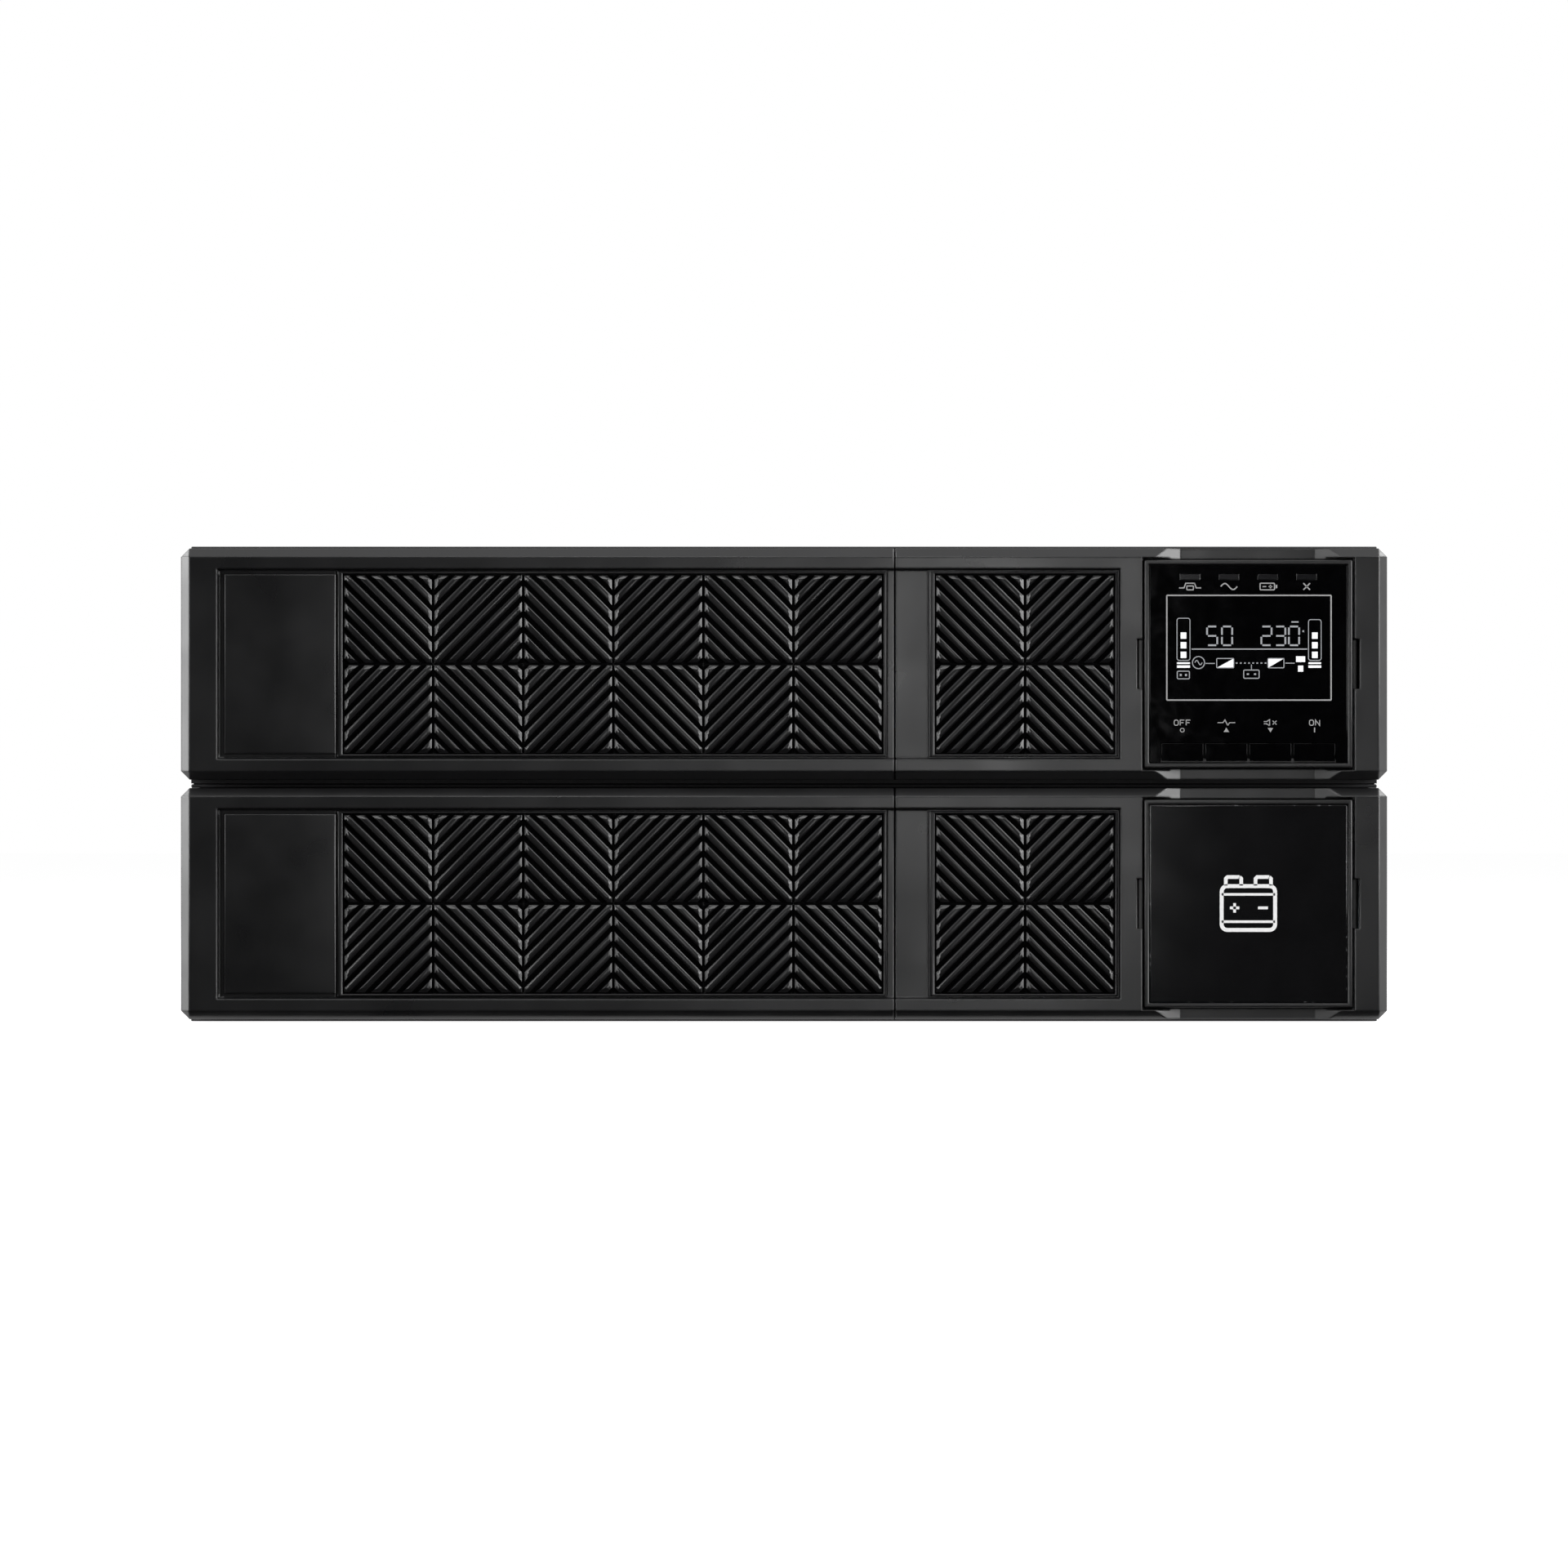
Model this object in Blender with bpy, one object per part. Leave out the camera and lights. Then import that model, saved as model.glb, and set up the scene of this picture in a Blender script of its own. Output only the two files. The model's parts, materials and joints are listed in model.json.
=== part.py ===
"""A rack-mounted uninterruptible power supply: a power module stacked on its battery module.

Metres, +Z up. The bezels face -Y, and the origin is the middle of the footprint. Each module
hangs from an empty at the middle of its own floor, so both share one set of heights.
"""

import math

import bmesh
import bpy
from mathutils import Matrix, Vector

MARKER = 0.02  # drawn size of an empty

# Fits
FIT = 0.0003  # between faces that seat on each other
SLIDE_FIT = 0.0005  # beside a drawer
PIN_FIT = 0.0002  # round a pin or a shaft
LIGHT_FIT = 0.00015  # round the status lights
PASS = 0.001  # how far a cutter runs past the face that it cuts
BITE = 0.0005  # how far a joined shape starts inside the one that it joins

# Modules and their sheet steel
MODULE_HEIGHT = 0.0867
SHEET = 0.0012
REAR_REACH = 0.012  # how far the DC sockets stand out behind
REAR_BAY = 0.073  # depth kept free behind the boards and the drawers
COVER_LIP = 0.012
COVER_LIP_INSET = 0.025

# Bezels
BEZEL_WIDTH = 0.438
BEZEL_DEPTH = 0.030
BEZEL_DROP = 0.00135  # bezel below the top of its module, and above its floor
BEZEL_OVERHANG = 0.002  # bezel beyond each side of the chassis
BEZEL_WALL = 0.0035
BEZEL_SKIRT = 0.0025
BEZEL_CHAMFER = 0.0031
SEAM_GAP = 0.0006
TAB_WIDTH = 0.010
TAB_THICKNESS = 0.002
TAB_ROOT = 0.010
TAB_REACH = 0.004  # snap tab behind the sheet that it hooks
TAB_INSET = 0.018  # snap tab from the end of its bezel

# Shallow recess that runs over both bezels
RECESS_MARGIN = 0.00735
RECESS_SIDE = 0.0132
RECESS_DEPTH = 0.002
RECESS_DRAFT = 0.00065
STRIP_WIDTH = 0.0118  # plain strip between the seam and the right grille
SEAM_LEDGE = 0.0025  # plain ledge between the left grille and the seam
NAMEPLATE_LEAST = 0.030
NAMEPLATE_GAP = 0.0006
NAMEPLATE_THICKNESS = 0.0012

# Grille inserts: square cells of slanting ribs, pushed in from behind
CELL_ROWS = 2
RIGHT_COLUMNS = 2
RIM = 0.001
RIM_STAND = 0.0008  # rim above the floor of the recess
DIVIDER = 0.0022  # wider rim on the left side
FLANGE = 0.0015
CREST_DROP = 0.0003  # rib crests below the rim
GRILLE_DEPTH = 0.004
CELL_BAR = 0.0012  # bar between two cells, at the face and behind
CELL_BAR_BACK = 0.004
RIB_PITCH = 0.004
RIB_CREST = 0.0008
RIB_ROOT = 0.003

# Square pocket in each right bezel
POCKET_STRIP = 0.0034  # bezel above and below the pocket
POCKET_SIDE = 0.0119
POCKET_MARGIN = 0.00775  # between the recess and the pocket
POCKET_GAP = 0.0009
POCKET_STEP = 0.004  # depth of the wider mouth
POCKET_DEPTH = 0.024
POCKET_FLOOR = 0.002
POCKET_WALL = 0.0018
SCOOP_WIDTH = 0.0676
SCOOP_FLOOR = 0.049
SCOOP_DEPTH = 0.0065
NOTCH_HEIGHT = 0.0181
NOTCH_WIDTH = 0.0018
NOTCH_DEPTH = 0.006
CABLE_WIDTH = 0.030  # hole for the display lead
CABLE_HEIGHT = 0.012

# Display and badge, which fill the two pockets
CASE_RIM = 0.0016
CASE_LEDGE = 0.0018
CASE_BACK = 0.0018
WINDOW_DROP = 0.0002
WINDOW_THICKNESS = 0.002
LCD_SIDE_GAP = 0.0033  # between the LCD and the sides of the cavity
LCD_TOP_GAP = 0.0035  # between the LCD and the status lights
LCD_KEY_GAP = 0.0138  # between the LCD and the hooks of the keys
LCD_THICKNESS = 0.003
BOARD_THICKNESS = 0.0016
KEY_NAMES = ("off_key", "up_key", "down_key", "on_key")
KEY_ROW_MARGIN = 0.00435
KEY_GAP = 0.001
KEY_HEIGHT = 0.0063
KEY_LIFT = 0.0006  # keys above the lower edge of the window
KEY_CAP = 0.0014
KEY_TRAVEL = 0.0006
KEY_HOOK = 0.001  # hook that keeps a key behind the window
KEY_HOOK_WIDTH = 0.002
KEY_STEM = 0.004
LIGHT_COUNT = 4
LIGHT_SIDE_GAP = 0.0061  # between the status lights and the sides of the cavity
LIGHT_WIDTH = 0.007
LIGHT_HEIGHT = 0.0018
LIGHT_DROP = 0.0042  # status lights below the top of the window
LIGHT_BAR_MARGIN = 0.001

# Power module, inside
BOARD_LIFT = 0.008
BOARD_MARGIN = 0.012
BOARD_FRONT = 0.035
PILLAR_RADIUS = 0.0035
PILLAR_INSET = 0.010
HEAT_SINK_WIDTH = 0.060
HEAT_SINK_LENGTH = 0.220
HEAT_SINK_HEIGHT = 0.052
HEAT_SINK_BASE = 0.006
FIN_COUNT = 8
FIN_THICKNESS = 0.002
CAPACITOR_COUNT = 3
CAPACITOR_RADIUS = 0.0175
CAPACITOR_HEIGHT = 0.050
CAPACITOR_PITCH = 0.045
CHOKE_RADIUS = 0.036
CHOKE_BORE = 0.014
CHOKE_HEIGHT = 0.038
CHOKE_PITCH = 0.085

# Rear panels and what they carry
FAN_MARGIN = 0.0018
FAN_DEPTH = 0.025
FAN_WALL = 0.0015
FAN_TIP_GAP = 0.0012
FAN_STRUT = 0.003
FAN_STRUT_WIDTH = 0.006
HUB_RADIUS = 0.016
HUB_DEPTH = 0.018
SHAFT_RADIUS = 0.0024
SHAFT_LENGTH = 0.010
BLADE_COUNT = 7
BLADE_CHORD = 0.020
BLADE_ROOT = 0.005  # how deep a blade starts in the hub
BLADE_PITCH = math.radians(40)
BLADE_THICKNESS = 0.0015
GUARD_RINGS = 2
GUARD_WIRE = 0.002
CARD_WIDTH = 0.040
CARD_HEIGHT = 0.060
CARD_LAP = 0.004
CARD_DEPTH = 0.055
CARD_BOARD_HEIGHT = 0.048
SOCKET_WIDTH = 0.030
SOCKET_HEIGHT = 0.024
SOCKET_WALL = 0.003
SOCKET_LAP = 0.002
SOCKET_INNER = 0.020
BREAKER_WIDTH = 0.036
BREAKER_HEIGHT = 0.048
BREAKER_INNER = 0.045
BREAKER_LAP = 0.002
BREAKER_FLANGE = 0.002
LEVER_WIDTH = 0.012
LEVER_SHOULDER = 0.0005  # paddle narrower than its root, on each side
LEVER_RADIUS = 0.005
LEVER_LENGTH = 0.0155
LEVER_THICKNESS = 0.005
LEVER_DEPTH = 0.006  # pivot behind the face of the breaker
LEVER_TILT = math.radians(25)
LEVER_PIN_RADIUS = 0.0015
LEVER_PIN_REACH = 0.002
TERMINAL_WIDTH = 0.090
TERMINAL_HEIGHT = 0.062
TERMINAL_LAP = 0.017
TERMINAL_COVER = 0.0015
TERMINAL_SETBACK = 0.014
TERMINAL_DEPTH = 0.032
TERMINAL_BODY_HEIGHT = 0.044
TERMINAL_POLES = 5
TERMINAL_BARRIER = 0.003
TERMINAL_POLE_DEPTH = 0.018
TERMINAL_POLE_LIFT = 0.016
CABLE_HOLE_RADIUS = 0.011
CABLE_HOLE_PITCH = 0.034

# Vents, ear holes and drawers
VENT_COUNT = 8
VENT_WIDTH = 0.034
VENT_HEIGHT = 0.046
EAR_HOLE_RADIUS = 0.002
EAR_HOLE_FRONT = 0.015
EAR_HOLE_PITCH = 0.020
EAR_HOLE_HEIGHT = 0.050
DRAWER_WALL = 0.030
RAIL_HEIGHT = 0.020
BATTERY_LENGTH = 0.151
BATTERY_WIDTH = 0.065
BATTERY_HEIGHT = 0.094
BATTERY_GAP = 0.001
LEFT_BATTERY_ROWS = 3
RIGHT_BATTERIES = 4
DRAWER_SPARE = 0.0073  # room behind the last row of the left drawer
TERMINAL_TAB = 0.006
TERMINAL_TAB_INSET = 0.012

# Heights and depths that follow
LEFT_ROW_PITCH = BATTERY_LENGTH + BATTERY_GAP
RIGHT_BATTERY_PITCH = BATTERY_HEIGHT + TERMINAL_TAB + BATTERY_GAP
DRAWER_DEPTH = 2 * SHEET + TAB_REACH + FIT + LEFT_BATTERY_ROWS * LEFT_ROW_PITCH + DRAWER_SPARE
CHASSIS_DEPTH = DRAWER_DEPTH + REAR_BAY
MODULE_PITCH = MODULE_HEIGHT + FIT
MID = MODULE_HEIGHT / 2
BEZEL_HEIGHT = MODULE_HEIGHT - 2 * BEZEL_DROP
CHASSIS_WIDTH = BEZEL_WIDTH - 2 * BEZEL_OVERHANG
FRONT = -(BEZEL_DEPTH + FIT + CHASSIS_DEPTH + REAR_REACH) / 2
CHASSIS_FRONT = FRONT + BEZEL_DEPTH + FIT
CHASSIS_REAR = CHASSIS_FRONT + CHASSIS_DEPTH
BAY_FRONT = CHASSIS_FRONT + DRAWER_DEPTH
INNER = CHASSIS_WIDTH / 2 - SHEET  # half the width between the walls of a chassis
FLOOR = SHEET + FIT  # where a piece on the floor of a chassis starts
CEILING = MODULE_HEIGHT - SHEET - FIT

# The front, from the right end to the left
POCKET = BEZEL_HEIGHT - 2 * POCKET_STRIP
POCKET_RIGHT = BEZEL_WIDTH / 2 - POCKET_SIDE
DISPLAY_X = POCKET_RIGHT - POCKET / 2
DISPLAY = POCKET - 2 * POCKET_GAP
BORE = DISPLAY + 2 * FIT
RECESS_FLOOR_HEIGHT = BEZEL_HEIGHT - 2 * (RECESS_MARGIN + RECESS_DRAFT)
RECESS_RIGHT = POCKET_RIGHT - POCKET - POCKET_MARGIN - RECESS_DRAFT
RECESS_LEFT = RECESS_SIDE + RECESS_DRAFT - BEZEL_WIDTH / 2
RECESS_FLOOR = FRONT + RECESS_DEPTH
FIELD_HEIGHT = RECESS_FLOOR_HEIGHT - 2 * (FIT + RIM)
CELL = FIELD_HEIGHT / CELL_ROWS
RIGHT_FIELD_RIGHT = RECESS_RIGHT - FIT - RIM
RIGHT_FIELD_LEFT = RIGHT_FIELD_RIGHT - RIGHT_COLUMNS * CELL
SEAM_RIGHT = RIGHT_FIELD_LEFT - DIVIDER - FIT - STRIP_WIDTH
SEAM_LEFT = SEAM_RIGHT - SEAM_GAP
SEAM_X = (SEAM_LEFT + SEAM_RIGHT) / 2
LEFT_FIELD_RIGHT = SEAM_LEFT - SEAM_LEDGE - FIT - RIM
LEFT_ROOM = LEFT_FIELD_RIGHT - DIVIDER - FIT - NAMEPLATE_LEAST - NAMEPLATE_GAP - RECESS_LEFT
LEFT_COLUMNS = int(LEFT_ROOM / CELL)
LEFT_FIELD_LEFT = LEFT_FIELD_RIGHT - LEFT_COLUMNS * CELL

# The grille's depths, from its rim to its back
RIM_FRONT = RECESS_FLOOR - RIM_STAND
CREST = RIM_FRONT + CREST_DROP
GRILLE_BACK = CREST + GRILLE_DEPTH

# The display's depths, from its window to its board
WINDOW_FRONT = FRONT + WINDOW_DROP
WINDOW_BACK = WINDOW_FRONT + WINDOW_THICKNESS
LEDGE_FRONT = WINDOW_BACK + FIT
LCD_BACK = LEDGE_FRONT + LCD_THICKNESS
DISPLAY_BOARD_FRONT = LCD_BACK + FIT
CASE_REAR = FRONT + POCKET_DEPTH - FIT
OPENING = DISPLAY - 2 * CASE_RIM
WINDOW = OPENING - 2 * FIT
CAVITY = OPENING - 2 * CASE_LEDGE
KEY_WIDTH = (WINDOW - 2 * KEY_ROW_MARGIN - (len(KEY_NAMES) - 1) * KEY_GAP) / len(KEY_NAMES)
KEY_Z = MID - WINDOW / 2 + KEY_LIFT + KEY_HEIGHT / 2
HOOK_TOP = KEY_Z + KEY_HEIGHT / 2 + FIT + KEY_HOOK
LIGHT_PITCH = (CAVITY - 2 * LIGHT_SIDE_GAP) / LIGHT_COUNT
LIGHT_Z = MID + WINDOW / 2 - LIGHT_DROP
LIGHT_BAR_BOTTOM = LIGHT_Z - LIGHT_HEIGHT / 2 - LIGHT_BAR_MARGIN

# Pieces on the rear panels
FAN_SIZE = CEILING - FLOOR - 2 * FAN_MARGIN
FAN_BORE = FAN_SIZE / 2 - FAN_WALL
FAN_REAR = CHASSIS_REAR - SHEET - FIT
FAN_FRONT = FAN_REAR - FAN_DEPTH
ROTOR_FRONT = FAN_FRONT + FAN_STRUT + FIT
PLATE_FRONT = CHASSIS_REAR + FIT  # seat of what is screwed on behind
LEVER_Y = PLATE_FRONT + BREAKER_FLANGE - LEVER_DEPTH
BOARD_BOTTOM = SHEET + BOARD_LIFT
BOARD_TOP = BOARD_BOTTOM + BOARD_THICKNESS

# Colour, roughness and metallic value of each finish
FINISHES = {
    "satin_black_abs": ((0.016, 0.016, 0.017), 0.38, 0.0),
    "matt_black_abs": ((0.010, 0.010, 0.010), 0.55, 0.0),
    "gloss_black_acrylic": ((0.004, 0.004, 0.005), 0.06, 0.0),
    "smoked_acrylic": ((0.030, 0.030, 0.032), 0.20, 0.0),
    "black_powder_coat": ((0.014, 0.014, 0.015), 0.60, 0.0),
    "zinc_plated_steel": ((0.55, 0.56, 0.57), 0.35, 1.0),
    "extruded_aluminium": ((0.70, 0.71, 0.72), 0.40, 1.0),
    "green_laminate": ((0.020, 0.120, 0.045), 0.45, 0.0),
    "grey_battery_abs": ((0.110, 0.115, 0.120), 0.50, 0.0),
    "blue_sleeve": ((0.020, 0.035, 0.120), 0.30, 0.0),
    "copper_winding": ((0.55, 0.22, 0.09), 0.35, 1.0),
    "glass_panel": ((0.030, 0.036, 0.040), 0.10, 0.0),
}


def span(centre, width):
    return centre - width / 2, centre + width / 2


def grown(ends, by):
    return ends[0] - by, ends[1] + by


def collection(name):
    made = bpy.data.collections.new(name)
    bpy.context.scene.collection.children.link(made)
    return made


def finish(name):
    """The material of this name, made the first time that it is asked for."""
    if name in bpy.data.materials:
        return bpy.data.materials[name]
    colour, roughness, metallic = FINISHES[name]
    material = bpy.data.materials.new(name)
    material.use_nodes = True
    shader = material.node_tree.nodes["Principled BSDF"]
    shader.inputs["Base Color"].default_value = (*colour, 1.0)
    shader.inputs["Roughness"].default_value = roughness
    shader.inputs["Metallic"].default_value = metallic
    return material


def empty(name, parent, location):
    made = bpy.data.objects.new(name, None)
    made.empty_display_size = MARKER
    made.parent = parent
    made.location = location
    PARTS.objects.link(made)
    return made


def placed(name, shape, parent, location, material=None):
    """An object made from a bmesh: a part if it has a material, and otherwise a cutter."""
    mesh = bpy.data.meshes.new(name)
    shape.to_mesh(mesh)
    shape.free()
    made = bpy.data.objects.new(name, mesh)
    made.parent = parent
    made.location = location
    if material:
        mesh.materials.append(finish(material))
        PARTS.objects.link(made)
    else:
        made.hide_render = True
        made.display_type = "WIRE"
        CUTTERS.objects.link(made)
    return made


def blocks(name, parent, boxes, material=None):
    """One mesh of boxes that don't touch, each given by its spans along X, Y and Z."""
    shape = bmesh.new()
    corners = [Vector(ends) for box in boxes for ends in zip(*box)]
    origin = sum(corners, Vector()) / len(corners)
    for box in boxes:
        low, high = (Vector(ends) for ends in zip(*box))
        place = Matrix.Translation((low + high) / 2 - origin)
        bmesh.ops.create_cube(shape, size=1.0, matrix=place @ Matrix.Diagonal((*(high - low), 1.0)))
    return placed(name, shape, parent, origin, material)


def block(name, parent, x, y, z, material=None):
    return blocks(name, parent, [(x, y, z)], material)


def drum(name, parent, centre, radius, length, axis, sides=24, material=None):
    """A cylinder about a line along X, Y or Z through its centre, smooth round its side."""
    turn = {
        "X": Matrix.Rotation(math.pi / 2, 4, "Y"),
        "Y": Matrix.Rotation(math.pi / 2, 4, "X"),
        "Z": Matrix.Identity(4),
    }[axis]
    shape = bmesh.new()
    bmesh.ops.create_cone(
        shape, cap_ends=True, segments=sides, radius1=radius, radius2=radius, depth=length, matrix=turn
    )
    for face in shape.faces:
        face.smooth = len(face.verts) == 4
    return placed(name, shape, parent, centre, material)


def change(piece, other, operation):
    modifier = piece.modifiers.new(operation.lower(), "BOOLEAN")
    modifier.operation = operation
    modifier.object = other


def cut(piece, *boxes):
    name = f"{piece.name}_cut_{len(piece.modifiers)}"
    change(piece, blocks(name, piece.parent, boxes), "DIFFERENCE")


def join(piece, *boxes):
    name = f"{piece.name}_join_{len(piece.modifiers)}"
    change(piece, blocks(name, piece.parent, boxes), "UNION")


def cut_drum(piece, centre, radius, length, axis, sides=24):
    name = f"{piece.name}_cut_{len(piece.modifiers)}"
    change(piece, drum(name, piece.parent, centre, radius, length, axis, sides), "DIFFERENCE")


def join_drum(piece, centre, radius, length, axis, sides=24):
    name = f"{piece.name}_join_{len(piece.modifiers)}"
    change(piece, drum(name, piece.parent, centre, radius, length, axis, sides), "UNION")


def baked(piece):
    """The mesh that a piece's Booleans leave, with the piece and its operands removed."""
    graph = bpy.context.evaluated_depsgraph_get()
    mesh = bpy.data.meshes.new_from_object(piece.evaluated_get(graph))
    for helper in [modifier.object for modifier in piece.modifiers] + [piece]:
        bpy.data.objects.remove(helper)
    return mesh


def row(room, widths):
    """Centres of pieces set side by side across a span, with equal gaps between them."""
    gap = (room[1] - room[0] - sum(widths)) / (len(widths) + 1)
    centres = []
    edge = room[0]
    for width in widths:
        centres.append(edge + gap + width / 2)
        edge += gap + width
    return centres


def tab_centres(side):
    """Where the snap tabs of the left or right bezel lie along X."""
    if side == "left":
        return -BEZEL_WIDTH / 2 + TAB_INSET, SEAM_LEFT - TAB_INSET
    return SEAM_RIGHT + TAB_INSET, DISPLAY_X - BORE / 2 - POCKET_WALL - TAB_INSET


def tab_boxes(side, y, room=0.0):
    """Snap tabs along the inside of the top and bottom skirts, or their slots with room added."""
    reach = BEZEL_HEIGHT / 2 - BEZEL_SKIRT
    boxes = []
    for centre in tab_centres(side):
        x = grown(span(centre, TAB_WIDTH), room)
        boxes.append((x, y, grown((MID + reach - TAB_THICKNESS, MID + reach + FIT), room)))
        boxes.append((x, y, grown((MID - reach - FIT, MID - reach + TAB_THICKNESS), room)))
    return boxes


def bezel(name, module, side):
    """A moulded half of a module's front, open behind, with chamfered edges and snap tabs."""
    shape = bmesh.new()
    size = Vector((BEZEL_WIDTH, BEZEL_DEPTH, BEZEL_HEIGHT))
    bmesh.ops.create_cube(shape, size=1.0, matrix=Matrix.Diagonal((*size, 1.0)))
    edges = [edge for edge in shape.edges if all(v.co.y < 0 for v in edge.verts)]
    edges += [edge for edge in shape.edges if abs(edge.verts[0].co.y - edge.verts[1].co.y) > size.y / 2]
    bmesh.ops.bevel(shape, geom=edges, offset=BEZEL_CHAMFER, segments=1, affect="EDGES")
    made = placed(name, shape, module, (0, FRONT + BEZEL_DEPTH / 2, MID), "satin_black_abs")
    y = (FRONT + BEZEL_WALL, FRONT + BEZEL_DEPTH + PASS)
    z = span(MID, BEZEL_HEIGHT - 2 * BEZEL_SKIRT)
    whole = (grown((FRONT, FRONT + BEZEL_DEPTH), PASS), grown(span(MID, BEZEL_HEIGHT), PASS))
    if side == "left":
        cut(made, ((SEAM_LEFT, BEZEL_WIDTH), *whole))
        cut(made, ((BEZEL_SKIRT - BEZEL_WIDTH / 2, SEAM_LEFT + PASS), y, z))
        opening = left_grille_opening()
    else:
        cut(made, ((-BEZEL_WIDTH, SEAM_RIGHT), *whole))
        cut(made, ((SEAM_RIGHT - PASS, DISPLAY_X - BORE / 2 - POCKET_WALL), y, z))
        opening = right_grille_opening()
        cut_pocket(made, y, z)
    change(made, recess_cutter(made), "DIFFERENCE")
    cut(made, (opening, (FRONT - PASS, FRONT + BEZEL_WALL + PASS), span(MID, RECESS_FLOOR_HEIGHT)))
    tab_y = (FRONT + BEZEL_DEPTH - TAB_ROOT, CHASSIS_FRONT + SHEET + TAB_REACH)
    join(made, *tab_boxes(side, tab_y))
    return made


def recess_cutter(piece):
    """The recess over both bezels, wider at the face by the draft of its walls."""
    shape = bmesh.new()
    size = (RECESS_RIGHT - RECESS_LEFT, RECESS_DEPTH, RECESS_FLOOR_HEIGHT)
    bmesh.ops.create_cube(shape, size=1.0, matrix=Matrix.Diagonal((*size, 1.0)))
    for vertex in shape.verts:
        if vertex.co.y < 0:
            slope = (RECESS_DEPTH + PASS) / RECESS_DEPTH
            vertex.co.x += math.copysign(RECESS_DRAFT * slope, vertex.co.x)
            vertex.co.z += math.copysign(RECESS_DRAFT * slope, vertex.co.z)
            vertex.co.y -= PASS
    centre = ((RECESS_LEFT + RECESS_RIGHT) / 2, FRONT + RECESS_DEPTH / 2, MID)
    return placed(f"{piece.name}_recess", shape, piece.parent, centre)


def cut_pocket(piece, hollow_y, hollow_z):
    """The square pocket of a right bezel, with its finger scoops, side notches and lead hole."""
    right_hollow = (DISPLAY_X + BORE / 2 + POCKET_WALL, BEZEL_WIDTH / 2 - BEZEL_SKIRT)
    cut(piece, (right_hollow, hollow_y, hollow_z))
    behind = (FRONT + POCKET_DEPTH + POCKET_FLOOR, FRONT + BEZEL_DEPTH + PASS)
    cut(piece, (span(DISPLAY_X, BORE), behind, span(MID, BORE)))
    cut(piece, (span(DISPLAY_X, BORE), (FRONT - PASS, FRONT + POCKET_DEPTH), span(MID, BORE)))
    cut(piece, (span(DISPLAY_X, POCKET), (FRONT - PASS, FRONT + POCKET_STEP), span(MID, POCKET)))
    notch = span(DISPLAY_X, POCKET + 2 * NOTCH_WIDTH)
    cut(piece, (notch, (FRONT - PASS, FRONT + NOTCH_DEPTH), span(MID, NOTCH_HEIGHT)))
    floor = (FRONT + POCKET_DEPTH - PASS, FRONT + POCKET_DEPTH + POCKET_FLOOR + PASS)
    cut(piece, (span(DISPLAY_X, CABLE_WIDTH), floor, span(MID, CABLE_HEIGHT)))
    shape = bmesh.new()
    size = (SCOOP_FLOOR, SCOOP_DEPTH, BEZEL_HEIGHT + 2 * PASS)
    bmesh.ops.create_cube(shape, size=1.0, matrix=Matrix.Diagonal((*size, 1.0)))
    flare = (SCOOP_WIDTH - SCOOP_FLOOR) / 2 * (SCOOP_DEPTH + PASS) / SCOOP_DEPTH
    for vertex in shape.verts:
        if vertex.co.y < 0:
            vertex.co.x += math.copysign(flare, vertex.co.x)
            vertex.co.y -= PASS
    centre = (DISPLAY_X, FRONT + SCOOP_DEPTH / 2, MID)
    change(piece, placed(f"{piece.name}_scoops", shape, piece.parent, centre), "DIFFERENCE")


def left_grille_opening():
    return LEFT_FIELD_LEFT - DIVIDER - FIT, LEFT_FIELD_RIGHT + RIM + FIT


def right_grille_opening():
    return RIGHT_FIELD_LEFT - DIVIDER - FIT, RIGHT_FIELD_RIGHT + RIM + FIT


def slope_ends(front, back):
    """Widths at the ends of a cutter that has these widths at the two faces of a grille."""
    change_past = (back - front) * PASS / GRILLE_DEPTH
    return front - change_past, back + change_past


def cell_slots(lean):
    """The slots between the ribs of one cell, about the middle of the cell, as one cutting mesh."""
    depth = GRILLE_DEPTH + 2 * PASS
    count = int((CELL - CELL_BAR) / math.sqrt(2) / RIB_PITCH)
    widths = slope_ends(RIB_PITCH - RIB_CREST, RIB_PITCH - RIB_ROOT)
    bars = bmesh.new()
    for step in range(-count, count):
        bar = bmesh.ops.create_cube(bars, size=1.0)["verts"]
        for vertex in bar:
            width = widths[vertex.co.y > 0]
            vertex.co = (vertex.co.x * 2 * CELL, vertex.co.y * depth, vertex.co.z * width)
        turn = Matrix.Rotation(lean * math.pi / 4, 4, "Y")
        shift = Matrix.Translation((0, 0, (step + 0.5) * RIB_PITCH))
        bmesh.ops.transform(bars, matrix=turn @ shift, verts=bar)
    slots = placed("cell_bars", bars, None, (0, 0, 0))
    sides = slope_ends(CELL - CELL_BAR, CELL - CELL_BAR_BACK)
    frame = bmesh.new()
    for vertex in bmesh.ops.create_cube(frame, size=1.0)["verts"]:
        side = sides[vertex.co.y > 0]
        vertex.co = (vertex.co.x * side, vertex.co.y * depth, vertex.co.z * side)
    change(slots, placed("cell_limits", frame, None, (0, 0, 0)), "INTERSECT")
    return baked(slots)


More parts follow.
